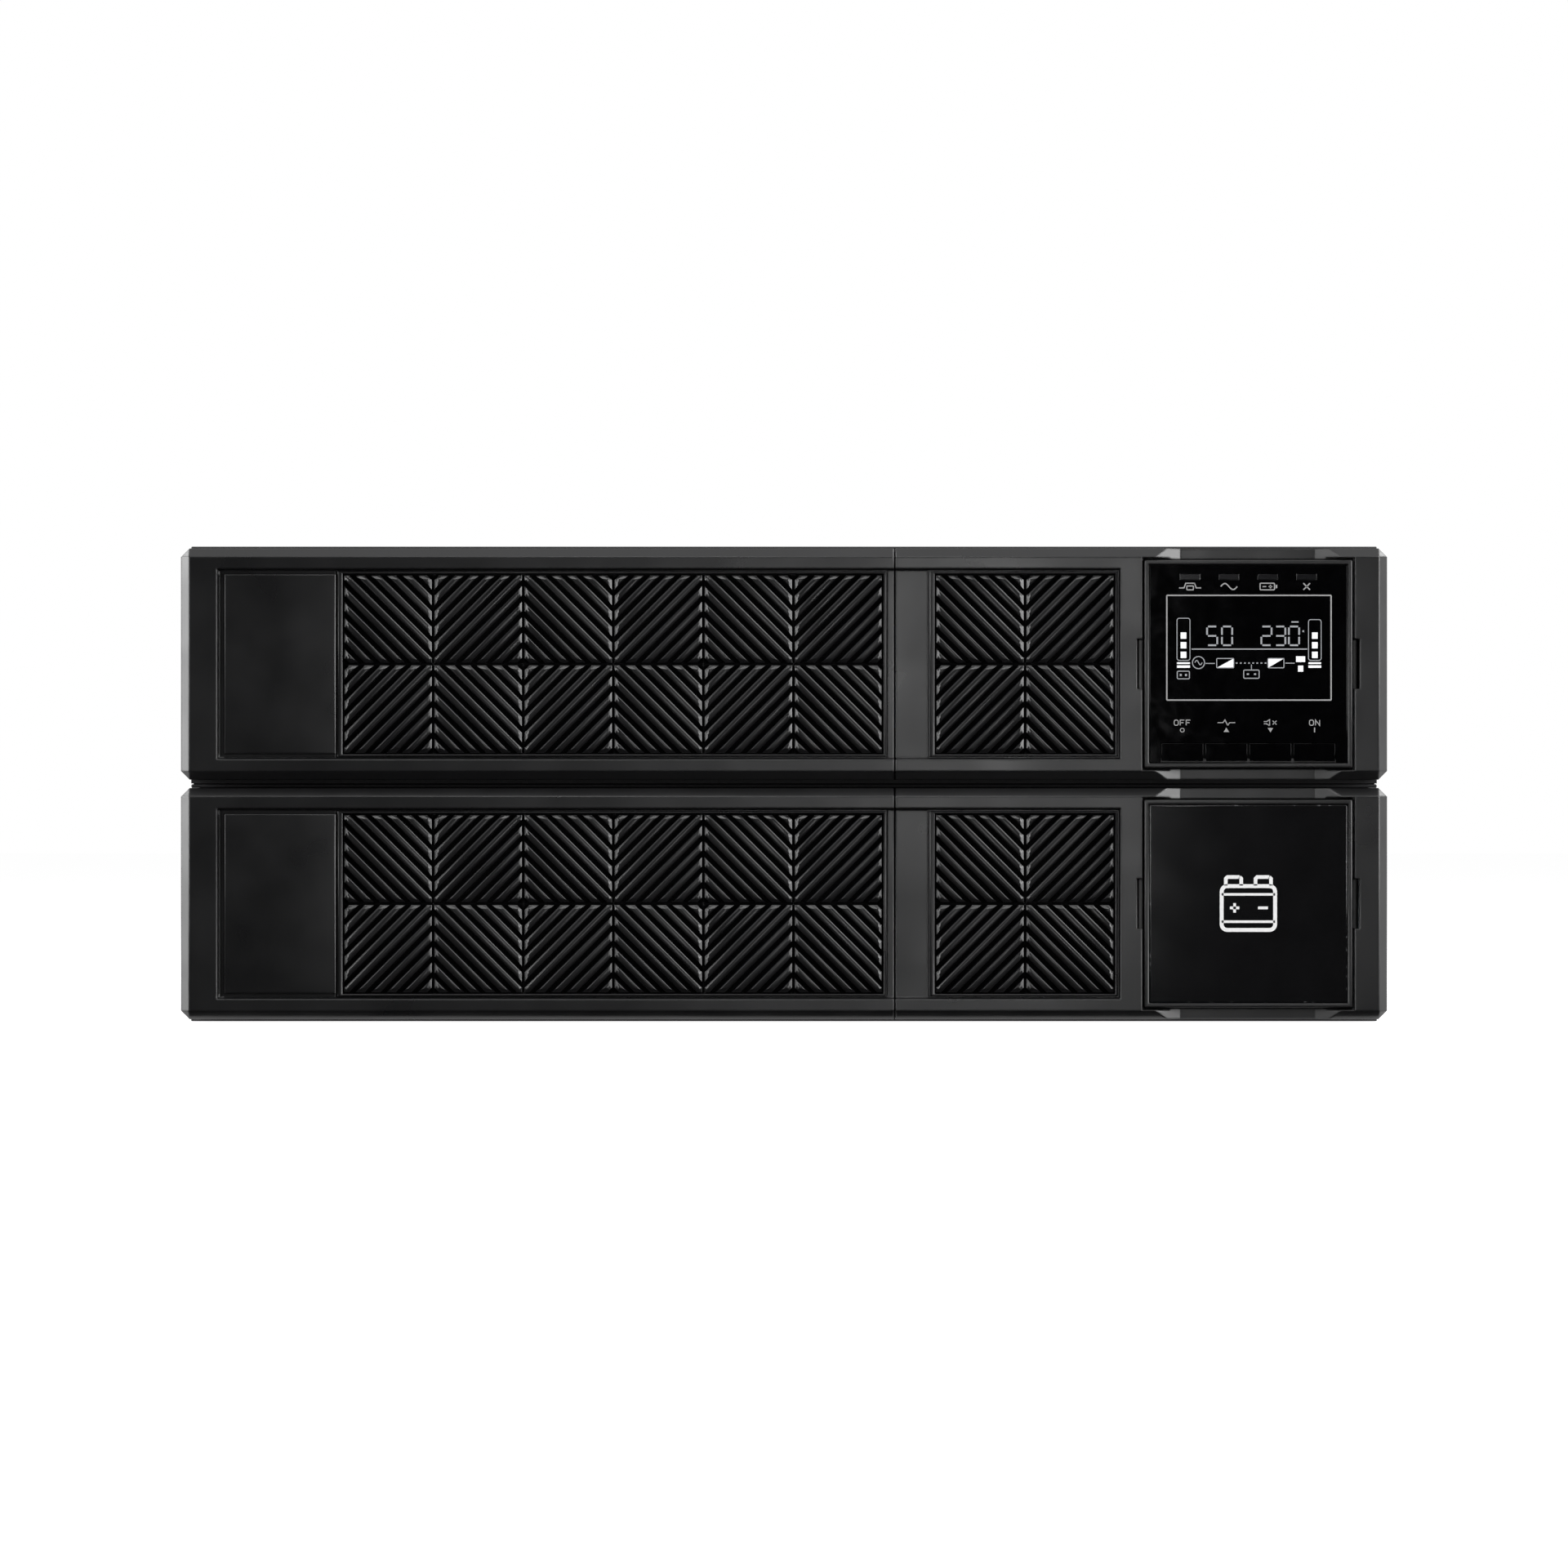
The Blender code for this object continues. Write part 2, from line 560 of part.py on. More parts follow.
def grille(name, module, left, columns):
    """A grille insert: a rimmed plate of square cells, each slotted so that slanting ribs are left."""
    x = (left, left + columns * CELL)
    z = span(MID, FIELD_HEIGHT)
    rim_x = (x[0] - DIVIDER, x[1] + RIM)
    rim_z = grown(z, RIM)
    made = block(name, module, rim_x, (RIM_FRONT, GRILLE_BACK), rim_z, "matt_black_abs")
    flange_y = (FRONT + BEZEL_WALL + FIT, GRILLE_BACK)
    join(made, (grown(rim_x, FLANGE), flange_y, grown(rim_z, FLANGE)))
    cut(made, (x, (RIM_FRONT - PASS, CREST), z))
    shape = bmesh.new()
    for column in range(columns):
        for line in range(CELL_ROWS):
            centre = (x[0] + (column + 0.5) * CELL, (CREST + GRILLE_BACK) / 2, z[1] - (line + 0.5) * CELL)
            before = len(shape.verts)
            shape.from_mesh(CELL_MESHES[(column + line) % 2])
            shape.verts.ensure_lookup_table()
            bmesh.ops.translate(shape, verts=shape.verts[before:], vec=centre)
    change(made, placed(f"{name}_slots", shape, module, (0, 0, 0)), "DIFFERENCE")


def nameplate(name, module):
    x = (RECESS_LEFT + NAMEPLATE_GAP, LEFT_FIELD_LEFT - DIVIDER - FIT)
    y = (RECESS_FLOOR - FIT - NAMEPLATE_THICKNESS, RECESS_FLOOR - FIT)
    return block(name, module, x, y, span(MID, FIELD_HEIGHT), "satin_black_abs")


def pocket_case(name, parent):
    """The box that fills a pocket: a rimmed front with a ledge for its window, and a lead hole."""
    made = block(name, parent, span(0, DISPLAY), (FRONT, CASE_REAR), span(MID, DISPLAY), "satin_black_abs")
    cut(made, (span(0, OPENING), (FRONT - PASS, LEDGE_FRONT), span(MID, OPENING)))
    cut(made, (span(0, CAVITY), (FRONT - PASS, CASE_REAR - CASE_BACK), span(MID, CAVITY)))
    back = grown((CASE_REAR - CASE_BACK, CASE_REAR), PASS)
    cut(made, (span(0, CABLE_WIDTH), back, span(MID, CABLE_HEIGHT)))
    return made


def light_centres():
    first = -LIGHT_PITCH * (LIGHT_COUNT - 1) / 2
    return [first + step * LIGHT_PITCH for step in range(LIGHT_COUNT)]


def key_centres():
    first = (KEY_WIDTH - WINDOW) / 2 + KEY_ROW_MARGIN
    return [first + step * (KEY_WIDTH + KEY_GAP) for step in range(len(KEY_NAMES))]


def display_window(parent):
    """The glossy front, with a row of slits for the lights and a notch for the keys."""
    y = (WINDOW_FRONT, WINDOW_BACK)
    made = block("display_window", parent, span(0, WINDOW), y, span(MID, WINDOW), "gloss_black_acrylic")
    through = grown(y, PASS)
    slit = (LIGHT_WIDTH + 2 * LIGHT_FIT, LIGHT_HEIGHT + 2 * LIGHT_FIT)
    cut(made, *[(span(x, slit[0]), through, span(LIGHT_Z, slit[1])) for x in light_centres()])
    notch = span(0, WINDOW - 2 * (KEY_ROW_MARGIN - FIT))
    cut(made, (notch, through, (MID - WINDOW, KEY_Z + KEY_HEIGHT / 2 + FIT)))
    return made


def status_light_bar(parent):
    """The light guide behind the window, with one stub through each slit."""
    x = span(0, LIGHT_PITCH * LIGHT_COUNT)
    y = (LEDGE_FRONT, DISPLAY_BOARD_FRONT - FIT)
    height = span(LIGHT_Z, LIGHT_HEIGHT)
    bar_z = (LIGHT_BAR_BOTTOM, height[1] + LIGHT_BAR_MARGIN)
    made = block("status_light_bar", parent, x, y, bar_z, "smoked_acrylic")
    stub = (WINDOW_FRONT, LEDGE_FRONT + BITE)
    join(made, *[(span(cx, LIGHT_WIDTH), stub, height) for cx in light_centres()])
    return made


def key(name, parent, x):
    """A key cap with a stem to its switch and a hook that keeps it behind the window."""
    y = (WINDOW_FRONT, WINDOW_FRONT + KEY_CAP)
    made = block(name, parent, span(x, KEY_WIDTH), y, span(KEY_Z, KEY_HEIGHT), "gloss_black_acrylic")
    stem_y = (y[1] - BITE, DISPLAY_BOARD_FRONT - KEY_TRAVEL - FIT)
    join(made, (span(x, KEY_STEM), stem_y, span(KEY_Z, KEY_STEM)))
    hook_y = (LEDGE_FRONT, stem_y[1] - KEY_TRAVEL)
    hook_z = (KEY_Z + KEY_STEM / 2 - BITE, HOOK_TOP)
    join(made, (span(x, KEY_HOOK_WIDTH), hook_y, hook_z))
    return made


def display(module):
    """The display, which slides out of its pocket as one piece."""
    parent = empty("display_axis", module, (DISPLAY_X, 0, 0))
    pocket_case("display_case", parent)
    display_window(parent)
    status_light_bar(parent)
    lcd_x = grown(span(0, CAVITY), -LCD_SIDE_GAP)
    lcd_z = (HOOK_TOP + LCD_KEY_GAP, LIGHT_BAR_BOTTOM - LCD_TOP_GAP)
    block("lcd_module", parent, lcd_x, (LEDGE_FRONT, LCD_BACK), lcd_z, "glass_panel")
    board_y = (DISPLAY_BOARD_FRONT, DISPLAY_BOARD_FRONT + BOARD_THICKNESS)
    side = CAVITY - 2 * FIT
    block("display_board", parent, span(0, side), board_y, span(MID, side), "green_laminate")
    for name, x in zip(KEY_NAMES, key_centres()):
        key(name, parent, x)


def badge(module):
    """The blind case of the battery module, with its plate."""
    parent = empty("badge_axis", module, (DISPLAY_X, 0, 0))
    pocket_case("badge_case", parent)
    y = (WINDOW_FRONT, WINDOW_BACK)
    block("badge_plate", parent, span(0, WINDOW), y, span(MID, WINDOW), "matt_black_abs")


def front(prefix, module):
    """Both bezels of a module with their grilles and the name plate."""
    for side, left, columns in (
        ("left", LEFT_FIELD_LEFT, LEFT_COLUMNS),
        ("right", RIGHT_FIELD_LEFT, RIGHT_COLUMNS),
    ):
        bezel(f"{prefix}_{side}_bezel", module, side)
        grille(f"{prefix}_{side}_grille", module, left, columns)
    nameplate(f"{prefix}_nameplate", module)


def chassis(name, module, closed_front):
    """A folded steel tray, open on top and behind, with tapped holes for rack ears."""
    x = span(0, CHASSIS_WIDTH)
    y = (CHASSIS_FRONT, CHASSIS_REAR)
    made = block(name, module, x, y, (0, CEILING), "black_powder_coat")
    inside = CHASSIS_FRONT + SHEET if closed_front else CHASSIS_FRONT - PASS
    cut(made, (span(0, 2 * INNER), (inside, CHASSIS_REAR + PASS), (SHEET, MODULE_HEIGHT)))
    for along in (EAR_HOLE_FRONT, EAR_HOLE_FRONT + EAR_HOLE_PITCH):
        for height in span(MID, EAR_HOLE_HEIGHT):
            centre = (0, CHASSIS_FRONT + along, height)
            cut_drum(made, centre, EAR_HOLE_RADIUS, CHASSIS_WIDTH + 2 * PASS, "X", 8)
    return made


def power_chassis(module):
    """The power module's tray: a vented front wall, and pillars for the main board."""
    made = chassis("power_chassis", module, True)
    through = grown((CHASSIS_FRONT, CHASSIS_FRONT + SHEET), PASS)
    vents = row((-INNER, INNER), [VENT_WIDTH] * VENT_COUNT)
    cut(made, *[(span(x, VENT_WIDTH), through, span(MID, VENT_HEIGHT)) for x in vents])
    cut(made, *tab_boxes("left", through, FIT), *tab_boxes("right", through, FIT))
    board_x, board_y = board_spans()
    for x in grown(board_x, -PILLAR_INSET):
        for y in (*grown(board_y, -PILLAR_INSET), sum(board_y) / 2):
            low, top = SHEET - BITE, BOARD_BOTTOM - FIT
            join_drum(made, (x, y, (low + top) / 2), PILLAR_RADIUS, top - low, "Z", 12)


def battery_chassis(module):
    """The battery module's tray: an open front, and a rail between the two drawers."""
    made = chassis("battery_chassis", module, False)
    join(made, (span(SEAM_X, SHEET), (CHASSIS_FRONT, BAY_FRONT), (SHEET - BITE, SHEET + RAIL_HEIGHT)))


def cover(name, module):
    """A flat lid with a lip down the inside of each wall."""
    y = (CHASSIS_FRONT, CHASSIS_REAR)
    z = (MODULE_HEIGHT - SHEET, MODULE_HEIGHT)
    made = block(name, module, span(0, CHASSIS_WIDTH), y, z, "black_powder_coat")
    lip_y = grown(y, -COVER_LIP_INSET)
    lip_z = (z[0] - COVER_LIP, z[0] + BITE)
    outer = INNER - FIT
    join(made, ((outer - SHEET, outer), lip_y, lip_z), ((-outer, SHEET - outer), lip_y, lip_z))


def board_spans():
    return span(0, 2 * (INNER - BOARD_MARGIN)), (CHASSIS_FRONT + BOARD_FRONT, BAY_FRONT)


def heat_sink(name, module, x, y):
    """An extruded sink: a base with fins along the air stream."""
    z = (BOARD_TOP + FIT, BOARD_TOP + FIT + HEAT_SINK_HEIGHT)
    y = span(y, HEAT_SINK_LENGTH)
    made = block(name, module, span(x, HEAT_SINK_WIDTH), y, z, "extruded_aluminium")
    pitch = (HEAT_SINK_WIDTH - FIN_THICKNESS) / (FIN_COUNT - 1)
    first = x - HEAT_SINK_WIDTH / 2 + (FIN_THICKNESS + pitch) / 2
    slots = [span(first + step * pitch, pitch - FIN_THICKNESS) for step in range(FIN_COUNT - 1)]
    cut(made, *[(slot, grown(y, PASS), (z[0] + HEAT_SINK_BASE, z[1] + PASS)) for slot in slots])


def converter(module):
    """The main board and the large pieces that stand on it."""
    board_x, board_y = board_spans()
    middle = sum(board_y) / 2
    block("main_board", module, board_x, board_y, (BOARD_BOTTOM, BOARD_TOP), "green_laminate")
    widths = (HEAT_SINK_WIDTH, HEAT_SINK_WIDTH, 2 * CAPACITOR_RADIUS, 2 * CHOKE_RADIUS)
    places = row(board_x, widths)
    heat_sink("rectifier_heat_sink", module, places[0], middle)
    heat_sink("inverter_heat_sink", module, places[1], middle)
    for step in range(CAPACITOR_COUNT):
        y = middle + (step - (CAPACITOR_COUNT - 1) / 2) * CAPACITOR_PITCH
        centre = (places[2], y, BOARD_TOP + FIT + CAPACITOR_HEIGHT / 2)
        name = f"bus_capacitor_{step + 1}"
        drum(name, module, centre, CAPACITOR_RADIUS, CAPACITOR_HEIGHT, "Z", 20, "blue_sleeve")
    for name, side in (("boost_choke", -1), ("inverter_choke", 1)):
        centre = (places[3], middle + side * CHOKE_PITCH / 2, BOARD_TOP + FIT + CHOKE_HEIGHT / 2)
        choke = drum(name, module, centre, CHOKE_RADIUS, CHOKE_HEIGHT, "Z", 24, "copper_winding")
        cut_drum(choke, centre, CHOKE_BORE, CHOKE_HEIGHT + 2 * PASS, "Z", 16)


def fan(name, module, x):
    """A fan frame with its motor mount, and the rotor that turns on its shaft."""
    y = (FAN_FRONT, FAN_REAR)
    frame = block(f"{name}_frame", module, span(x, FAN_SIZE), y, span(MID, FAN_SIZE), "matt_black_abs")
    cut_drum(frame, (x, sum(y) / 2, MID), FAN_BORE, FAN_DEPTH + 2 * PASS, "Y", 32)
    strut_y = (FAN_FRONT, FAN_FRONT + FAN_STRUT)
    reach = 2 * FAN_BORE + FAN_WALL
    join(frame, (span(x, reach), strut_y, span(MID, FAN_STRUT_WIDTH)))
    join(frame, (span(x, FAN_STRUT_WIDTH), strut_y, span(MID, reach)))
    join_drum(frame, (x, sum(strut_y) / 2, MID), HUB_RADIUS - FIT, FAN_STRUT, "Y")
    shaft = SHAFT_LENGTH + BITE
    join_drum(frame, (x, strut_y[1] - BITE + shaft / 2, MID), SHAFT_RADIUS, shaft, "Y", 16)
    rotor(f"{name}_rotor", module, (x, ROTOR_FRONT + HUB_DEPTH / 2, MID))


def rotor(name, module, centre):
    made = drum(name, module, centre, HUB_RADIUS, HUB_DEPTH, "Y", 24, "matt_black_abs")
    tip = FAN_BORE - FAN_TIP_GAP
    root = HUB_RADIUS - BLADE_ROOT
    shape = bmesh.new()
    for step in range(BLADE_COUNT):
        blade = bmesh.ops.create_cube(shape, size=1.0)["verts"]
        size = Matrix.Diagonal((BLADE_CHORD, BLADE_THICKNESS, tip - root, 1.0))
        pitch = Matrix.Translation((0, 0, (tip + root) / 2)) @ Matrix.Rotation(BLADE_PITCH, 4, "Z")
        around = Matrix.Rotation(step * 2 * math.pi / BLADE_COUNT, 4, "Y")
        bmesh.ops.transform(shape, matrix=around @ pitch @ size, verts=blade)
    change(made, placed(f"{name}_blades", shape, module, centre), "UNION")
    bore = SHAFT_LENGTH + FIT
    bore_centre = (centre[0], ROTOR_FRONT + bore / 2 - PASS / 2, centre[2])
    cut_drum(made, bore_centre, SHAFT_RADIUS + PIN_FIT, bore + PASS, "Y", 16)


def rear_panel(name, module):
    y = (CHASSIS_REAR - SHEET, CHASSIS_REAR)
    return block(name, module, span(0, 2 * (INNER - FIT)), y, (FLOOR, CEILING), "black_powder_coat")


def panel_hole(panel, x, width, height):
    cut(panel, (span(x, width), grown((CHASSIS_REAR - SHEET, CHASSIS_REAR), PASS), span(MID, height)))


def fan_guard(panel, x):
    """A round opening crossed by punched rings and spokes."""
    centre = (x, CHASSIS_REAR - SHEET / 2, MID)
    radius = FAN_BORE - FAN_TIP_GAP
    cut_drum(panel, centre, radius, SHEET + 2 * PASS, "Y")
    y = (CHASSIS_REAR - SHEET, CHASSIS_REAR)
    for step in range(1, GUARD_RINGS + 1):
        ring = radius * step / (GUARD_RINGS + 1)
        name = f"{panel.name}_ring_{len(panel.modifiers)}"
        wire = drum(name, panel.parent, centre, ring + GUARD_WIRE / 2, SHEET, "Y")
        cut_drum(wire, centre, ring - GUARD_WIRE / 2, SHEET + 2 * PASS, "Y")
        change(panel, wire, "UNION")
    reach = 2 * radius + GUARD_WIRE
    join(panel, (span(x, reach), y, span(MID, GUARD_WIRE)))
    join(panel, (span(x, GUARD_WIRE), y, span(MID, reach)))


def dc_socket(name, module, x):
    """A moulded socket through the rear panel, open behind for the battery plug."""
    y = (CHASSIS_REAR - SHEET - SOCKET_INNER, CHASSIS_REAR + REAR_REACH)
    body = (span(x, SOCKET_WIDTH), span(MID, SOCKET_HEIGHT))
    made = block(name, module, body[0], y, body[1], "matt_black_abs")
    join(made, (grown(body[0], SOCKET_LAP), (PLATE_FRONT, y[1]), grown(body[1], SOCKET_LAP)))
    mouth = (y[0] + SOCKET_WALL, y[1] + PASS)
    cut(made, (grown(body[0], -SOCKET_WALL), mouth, grown(body[1], -SOCKET_WALL)))


def breaker(name, module, x):
    """A breaker through the rear panel, with its lever on a pin across a slot."""
    y = (CHASSIS_REAR - SHEET - BREAKER_INNER, PLATE_FRONT + BREAKER_FLANGE)
    body = (span(x, BREAKER_WIDTH), span(MID, BREAKER_HEIGHT))
    made = block(name, module, body[0], y, body[1], "matt_black_abs")
    join(made, (grown(body[0], BREAKER_LAP), (PLATE_FRONT, y[1]), grown(body[1], BREAKER_LAP)))
    slot = LEVER_WIDTH + 2 * FIT
    swing = LEVER_DEPTH * math.tan(LEVER_TILT) + LEVER_THICKNESS / 2 / math.cos(LEVER_TILT)
    height = 2 * (max(swing, LEVER_RADIUS) + FIT)
    cut(made, (span(x, slot), (LEVER_Y - LEVER_RADIUS - FIT, y[1] + PASS), span(MID, height)))
    pin = LEVER_WIDTH + 2 * (LEVER_PIN_REACH + FIT)
    cut_drum(made, (x, LEVER_Y, MID), LEVER_PIN_RADIUS + PIN_FIT, pin, "X", 16)
    lever(f"{name}_lever", empty(f"{name}_axis", module, (x, LEVER_Y, MID)))


def lever(name, axis):
    """A toggle about the X axis of its empty, tilted up to its stop."""
    axis.rotation_euler.x = LEVER_TILT
    made = drum(name, axis, (0, 0, 0), LEVER_RADIUS, LEVER_WIDTH, "X", 16, "satin_black_abs")
    paddle = span(0, LEVER_WIDTH - 2 * LEVER_SHOULDER)
    join(made, (paddle, (0, LEVER_LENGTH), span(0, LEVER_THICKNESS)))
    join_drum(made, (0, 0, 0), LEVER_PIN_RADIUS, LEVER_WIDTH + 2 * LEVER_PIN_REACH, "X", 16)


def terminals(module, x):
    """The terminal block on the floor, and the plate with two cable holes that covers it."""
    rear = CHASSIS_REAR - SHEET - TERMINAL_SETBACK
    y = (rear - TERMINAL_DEPTH, rear)
    width = TERMINAL_WIDTH - TERMINAL_LAP
    z = (FLOOR, FLOOR + TERMINAL_BODY_HEIGHT)
    made = block("terminal_block", module, span(x, width), y, z, "matt_black_abs")
    pole = (width - TERMINAL_BARRIER) / TERMINAL_POLES
    poles = []
    for step in range(TERMINAL_POLES):
        centre = x + (step - (TERMINAL_POLES - 1) / 2) * pole
        poles.append((span(centre, pole - TERMINAL_BARRIER), (rear - TERMINAL_POLE_DEPTH, rear + PASS)))
    cut(made, *[(*spot, (z[0] + TERMINAL_POLE_LIFT, z[1] + PASS)) for spot in poles])
    plate_y = (PLATE_FRONT, PLATE_FRONT + TERMINAL_COVER)
    plate_z = span(MID, TERMINAL_HEIGHT)
    plate = block("terminal_cover", module, span(x, TERMINAL_WIDTH), plate_y, plate_z, "black_powder_coat")
    for hole in span(x, CABLE_HOLE_PITCH):
        centre = (hole, sum(plate_y) / 2, MID)
        cut_drum(plate, centre, CABLE_HOLE_RADIUS, TERMINAL_COVER + 2 * PASS, "Y", 20)


def comms_card(module, x):
    """A plate behind the rear panel that carries an upright card inside."""
    y = (PLATE_FRONT, PLATE_FRONT + SHEET)
    made = block("comms_card", module, span(x, CARD_WIDTH), y, span(MID, CARD_HEIGHT), "black_powder_coat")
    card_y = (CHASSIS_REAR - CARD_DEPTH, PLATE_FRONT + BITE)
    join(made, (span(x, BOARD_THICKNESS), card_y, span(MID, CARD_BOARD_HEIGHT)))


def rear_places():
    """Where the pieces on the power module's rear panel stand along X, from the left."""
    widths = (FAN_SIZE, FAN_SIZE, CARD_WIDTH, SOCKET_WIDTH, BREAKER_WIDTH, TERMINAL_WIDTH)
    return row((-INNER, INNER), widths)


def socket_and_breaker(panel, socket_name, breaker_name):
    """A DC socket and a breaker, at the same places on the rear panels of both modules."""
    socket_x, breaker_x = rear_places()[3:5]
    panel_hole(panel, socket_x, SOCKET_WIDTH + 2 * FIT, SOCKET_HEIGHT + 2 * FIT)
    dc_socket(socket_name, panel.parent, socket_x)
    panel_hole(panel, breaker_x, BREAKER_WIDTH + 2 * FIT, BREAKER_HEIGHT + 2 * FIT)
    breaker(breaker_name, panel.parent, breaker_x)


def power_rear(module):
    """The power module's rear panel and everything that it carries."""
    panel = rear_panel("power_rear_panel", module)
    left_fan_x, right_fan_x, card_x, _, _, terminal_x = rear_places()
    for name, x in (("left_fan", left_fan_x), ("right_fan", right_fan_x)):
        fan_guard(panel, x)
        fan(name, module, x)
    panel_hole(panel, card_x, CARD_WIDTH - 2 * CARD_LAP, CARD_HEIGHT - 2 * CARD_LAP)
    comms_card(module, card_x)
    socket_and_breaker(panel, "power_dc_socket", "input_breaker")
    panel_hole(panel, terminal_x, TERMINAL_WIDTH - 2 * TERMINAL_LAP, TERMINAL_HEIGHT - TERMINAL_LAP)
    terminals(module, terminal_x)


def battery_rear(module):
    """The battery module's rear panel with its socket and breaker, in line with those above."""
    panel = rear_panel("battery_rear_panel", module)
    socket_and_breaker(panel, "battery_dc_socket", "battery_breaker")


def drawer(name, module, side, x):
    """A battery drawer: a low tray behind a full front plate with slots for the bezel's tabs.

    It gives the span along X that its batteries have, and where the first of them starts along Y.
    """
    y = (CHASSIS_FRONT, BAY_FRONT)
    made = block(name, module, x, y, (FLOOR, CEILING - FIT), "zinc_plated_steel")
    inner_y = (y[0] + SHEET, y[1] - SHEET)
    cut(made, (grown(x, -SHEET), inner_y, (FLOOR + SHEET, MODULE_HEIGHT)))
    cut(made, (grown(x, PASS), (inner_y[0], y[1] + PASS), (FLOOR + DRAWER_WALL, MODULE_HEIGHT)))
    cut(made, *tab_boxes(side, grown((y[0], inner_y[0]), PASS), FIT))
    return grown(x, -SHEET - FIT), inner_y[0] + TAB_REACH + FIT


def battery_mesh():
    """A sealed block lying on its side: its base at X = 0, and its two tabs on the far face."""
    size = ((0, BATTERY_HEIGHT), span(0, BATTERY_LENGTH), span(0, BATTERY_WIDTH))
    made = block("battery_shape", None, *size, "grey_battery_abs")
    reach = (BATTERY_HEIGHT - BITE, BATTERY_HEIGHT + TERMINAL_TAB)
    ends = span(0, BATTERY_LENGTH - 2 * TERMINAL_TAB_INSET)
    join(made, *[(reach, span(end, TERMINAL_TAB), span(0, TERMINAL_TAB)) for end in ends])
    made.data.transform(Matrix.Translation(made.location))
    made.location = (0, 0, 0)
    return baked(made)


def battery(name, module, base, turn):
    made = bpy.data.objects.new(name, BATTERY_MESH)
    made.parent = module
    made.location = base
    made.rotation_euler.z = turn
    PARTS.objects.link(made)


def batteries(module):
    """Both drawers with their batteries, two columns on the left and one on the right."""
    rail = SHEET / 2 + SLIDE_FIT
    z = FLOOR + SHEET + FIT + BATTERY_WIDTH / 2
    x, y = drawer("left_drawer", module, "left", (SLIDE_FIT - INNER, SEAM_X - rail))
    number = 0
    for step in range(LEFT_BATTERY_ROWS):
        for edge, turn in ((x[0], 0), (x[1], math.pi)):
            number += 1
            base = (edge, y + (step + 0.5) * LEFT_ROW_PITCH, z)
            battery(f"left_battery_{number}", module, base, turn)
    x, y = drawer("right_drawer", module, "right", (SEAM_X + rail, INNER - SLIDE_FIT))
    for step in range(RIGHT_BATTERIES):
        base = (sum(x) / 2, y + step * RIGHT_BATTERY_PITCH, z)
        battery(f"right_battery_{step + 1}", module, base, math.pi / 2)


for leftover in list(bpy.data.objects):
    bpy.data.objects.remove(leftover)
PARTS = collection("rackmount_ups")
CUTTERS = collection("cutters")
CELL_MESHES = [cell_slots(1), cell_slots(-1)]
BATTERY_MESH = battery_mesh()

battery_module = empty("battery_module", None, (0, 0, 0))
battery_chassis(battery_module)
cover("battery_cover", battery_module)
battery_rear(battery_module)
batteries(battery_module)
front("battery", battery_module)
badge(battery_module)

power_module = empty("power_module", None, (0, 0, MODULE_PITCH))
power_chassis(power_module)
cover("power_cover", power_module)
converter(power_module)
power_rear(power_module)
front("power", power_module)
display(power_module)
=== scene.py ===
"""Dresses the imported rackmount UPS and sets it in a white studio.

A power module stands on a battery module. Lengths are in metres where no comment says millimetres.
"""

import json
import math

import bmesh
import bpy
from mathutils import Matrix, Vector

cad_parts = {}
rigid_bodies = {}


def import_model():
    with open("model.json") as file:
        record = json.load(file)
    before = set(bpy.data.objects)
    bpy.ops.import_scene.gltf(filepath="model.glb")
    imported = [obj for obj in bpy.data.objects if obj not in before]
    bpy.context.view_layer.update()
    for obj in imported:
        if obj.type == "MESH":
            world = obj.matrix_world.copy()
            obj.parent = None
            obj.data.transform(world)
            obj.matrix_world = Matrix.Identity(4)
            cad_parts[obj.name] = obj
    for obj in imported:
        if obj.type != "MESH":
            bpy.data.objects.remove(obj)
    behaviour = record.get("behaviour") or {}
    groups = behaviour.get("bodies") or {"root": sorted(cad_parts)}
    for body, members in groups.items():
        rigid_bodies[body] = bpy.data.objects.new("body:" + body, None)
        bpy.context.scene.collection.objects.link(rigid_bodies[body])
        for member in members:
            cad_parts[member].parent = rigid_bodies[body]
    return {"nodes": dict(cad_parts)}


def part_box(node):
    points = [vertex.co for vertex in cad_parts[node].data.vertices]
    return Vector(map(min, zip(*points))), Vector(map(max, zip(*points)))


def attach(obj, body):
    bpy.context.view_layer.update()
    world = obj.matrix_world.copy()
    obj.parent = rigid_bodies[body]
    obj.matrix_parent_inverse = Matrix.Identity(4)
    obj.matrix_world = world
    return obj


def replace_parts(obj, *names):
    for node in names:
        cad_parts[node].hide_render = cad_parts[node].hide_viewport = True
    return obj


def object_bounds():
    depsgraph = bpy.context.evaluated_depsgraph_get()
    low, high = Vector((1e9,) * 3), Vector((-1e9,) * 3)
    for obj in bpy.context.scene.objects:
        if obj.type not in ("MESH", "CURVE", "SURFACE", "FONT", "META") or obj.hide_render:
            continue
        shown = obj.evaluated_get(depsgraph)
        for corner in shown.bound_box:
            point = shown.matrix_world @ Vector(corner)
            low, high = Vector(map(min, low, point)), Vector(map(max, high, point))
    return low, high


for leftover in list(bpy.data.objects):
    bpy.data.objects.remove(leftover)
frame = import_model()
cad_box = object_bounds()


# Steel cases
# Each module has a folded tray of 1.2 mm sheet steel with a flat lid and a screwed rear panel.
# The steel is powder-coated: a baked polyester film with a fine orange-peel skin.
def linear(code):
    """A linear colour from an sRGB hex value."""
    parts = [int(code[i : i + 2], 16) / 255 for i in (0, 2, 4)]
    return [p / 12.92 if p <= 0.04045 else ((p + 0.055) / 1.055) ** 2.4 for p in parts] + [1.0]


def per_metre(millimetres):
    """The scale of a pattern whose features are this wide."""
    return 1000 / millimetres


def material(name):
    made = bpy.data.materials.new(name)
    made.use_nodes = True
    made.node_tree.nodes.clear()
    return made, made.node_tree


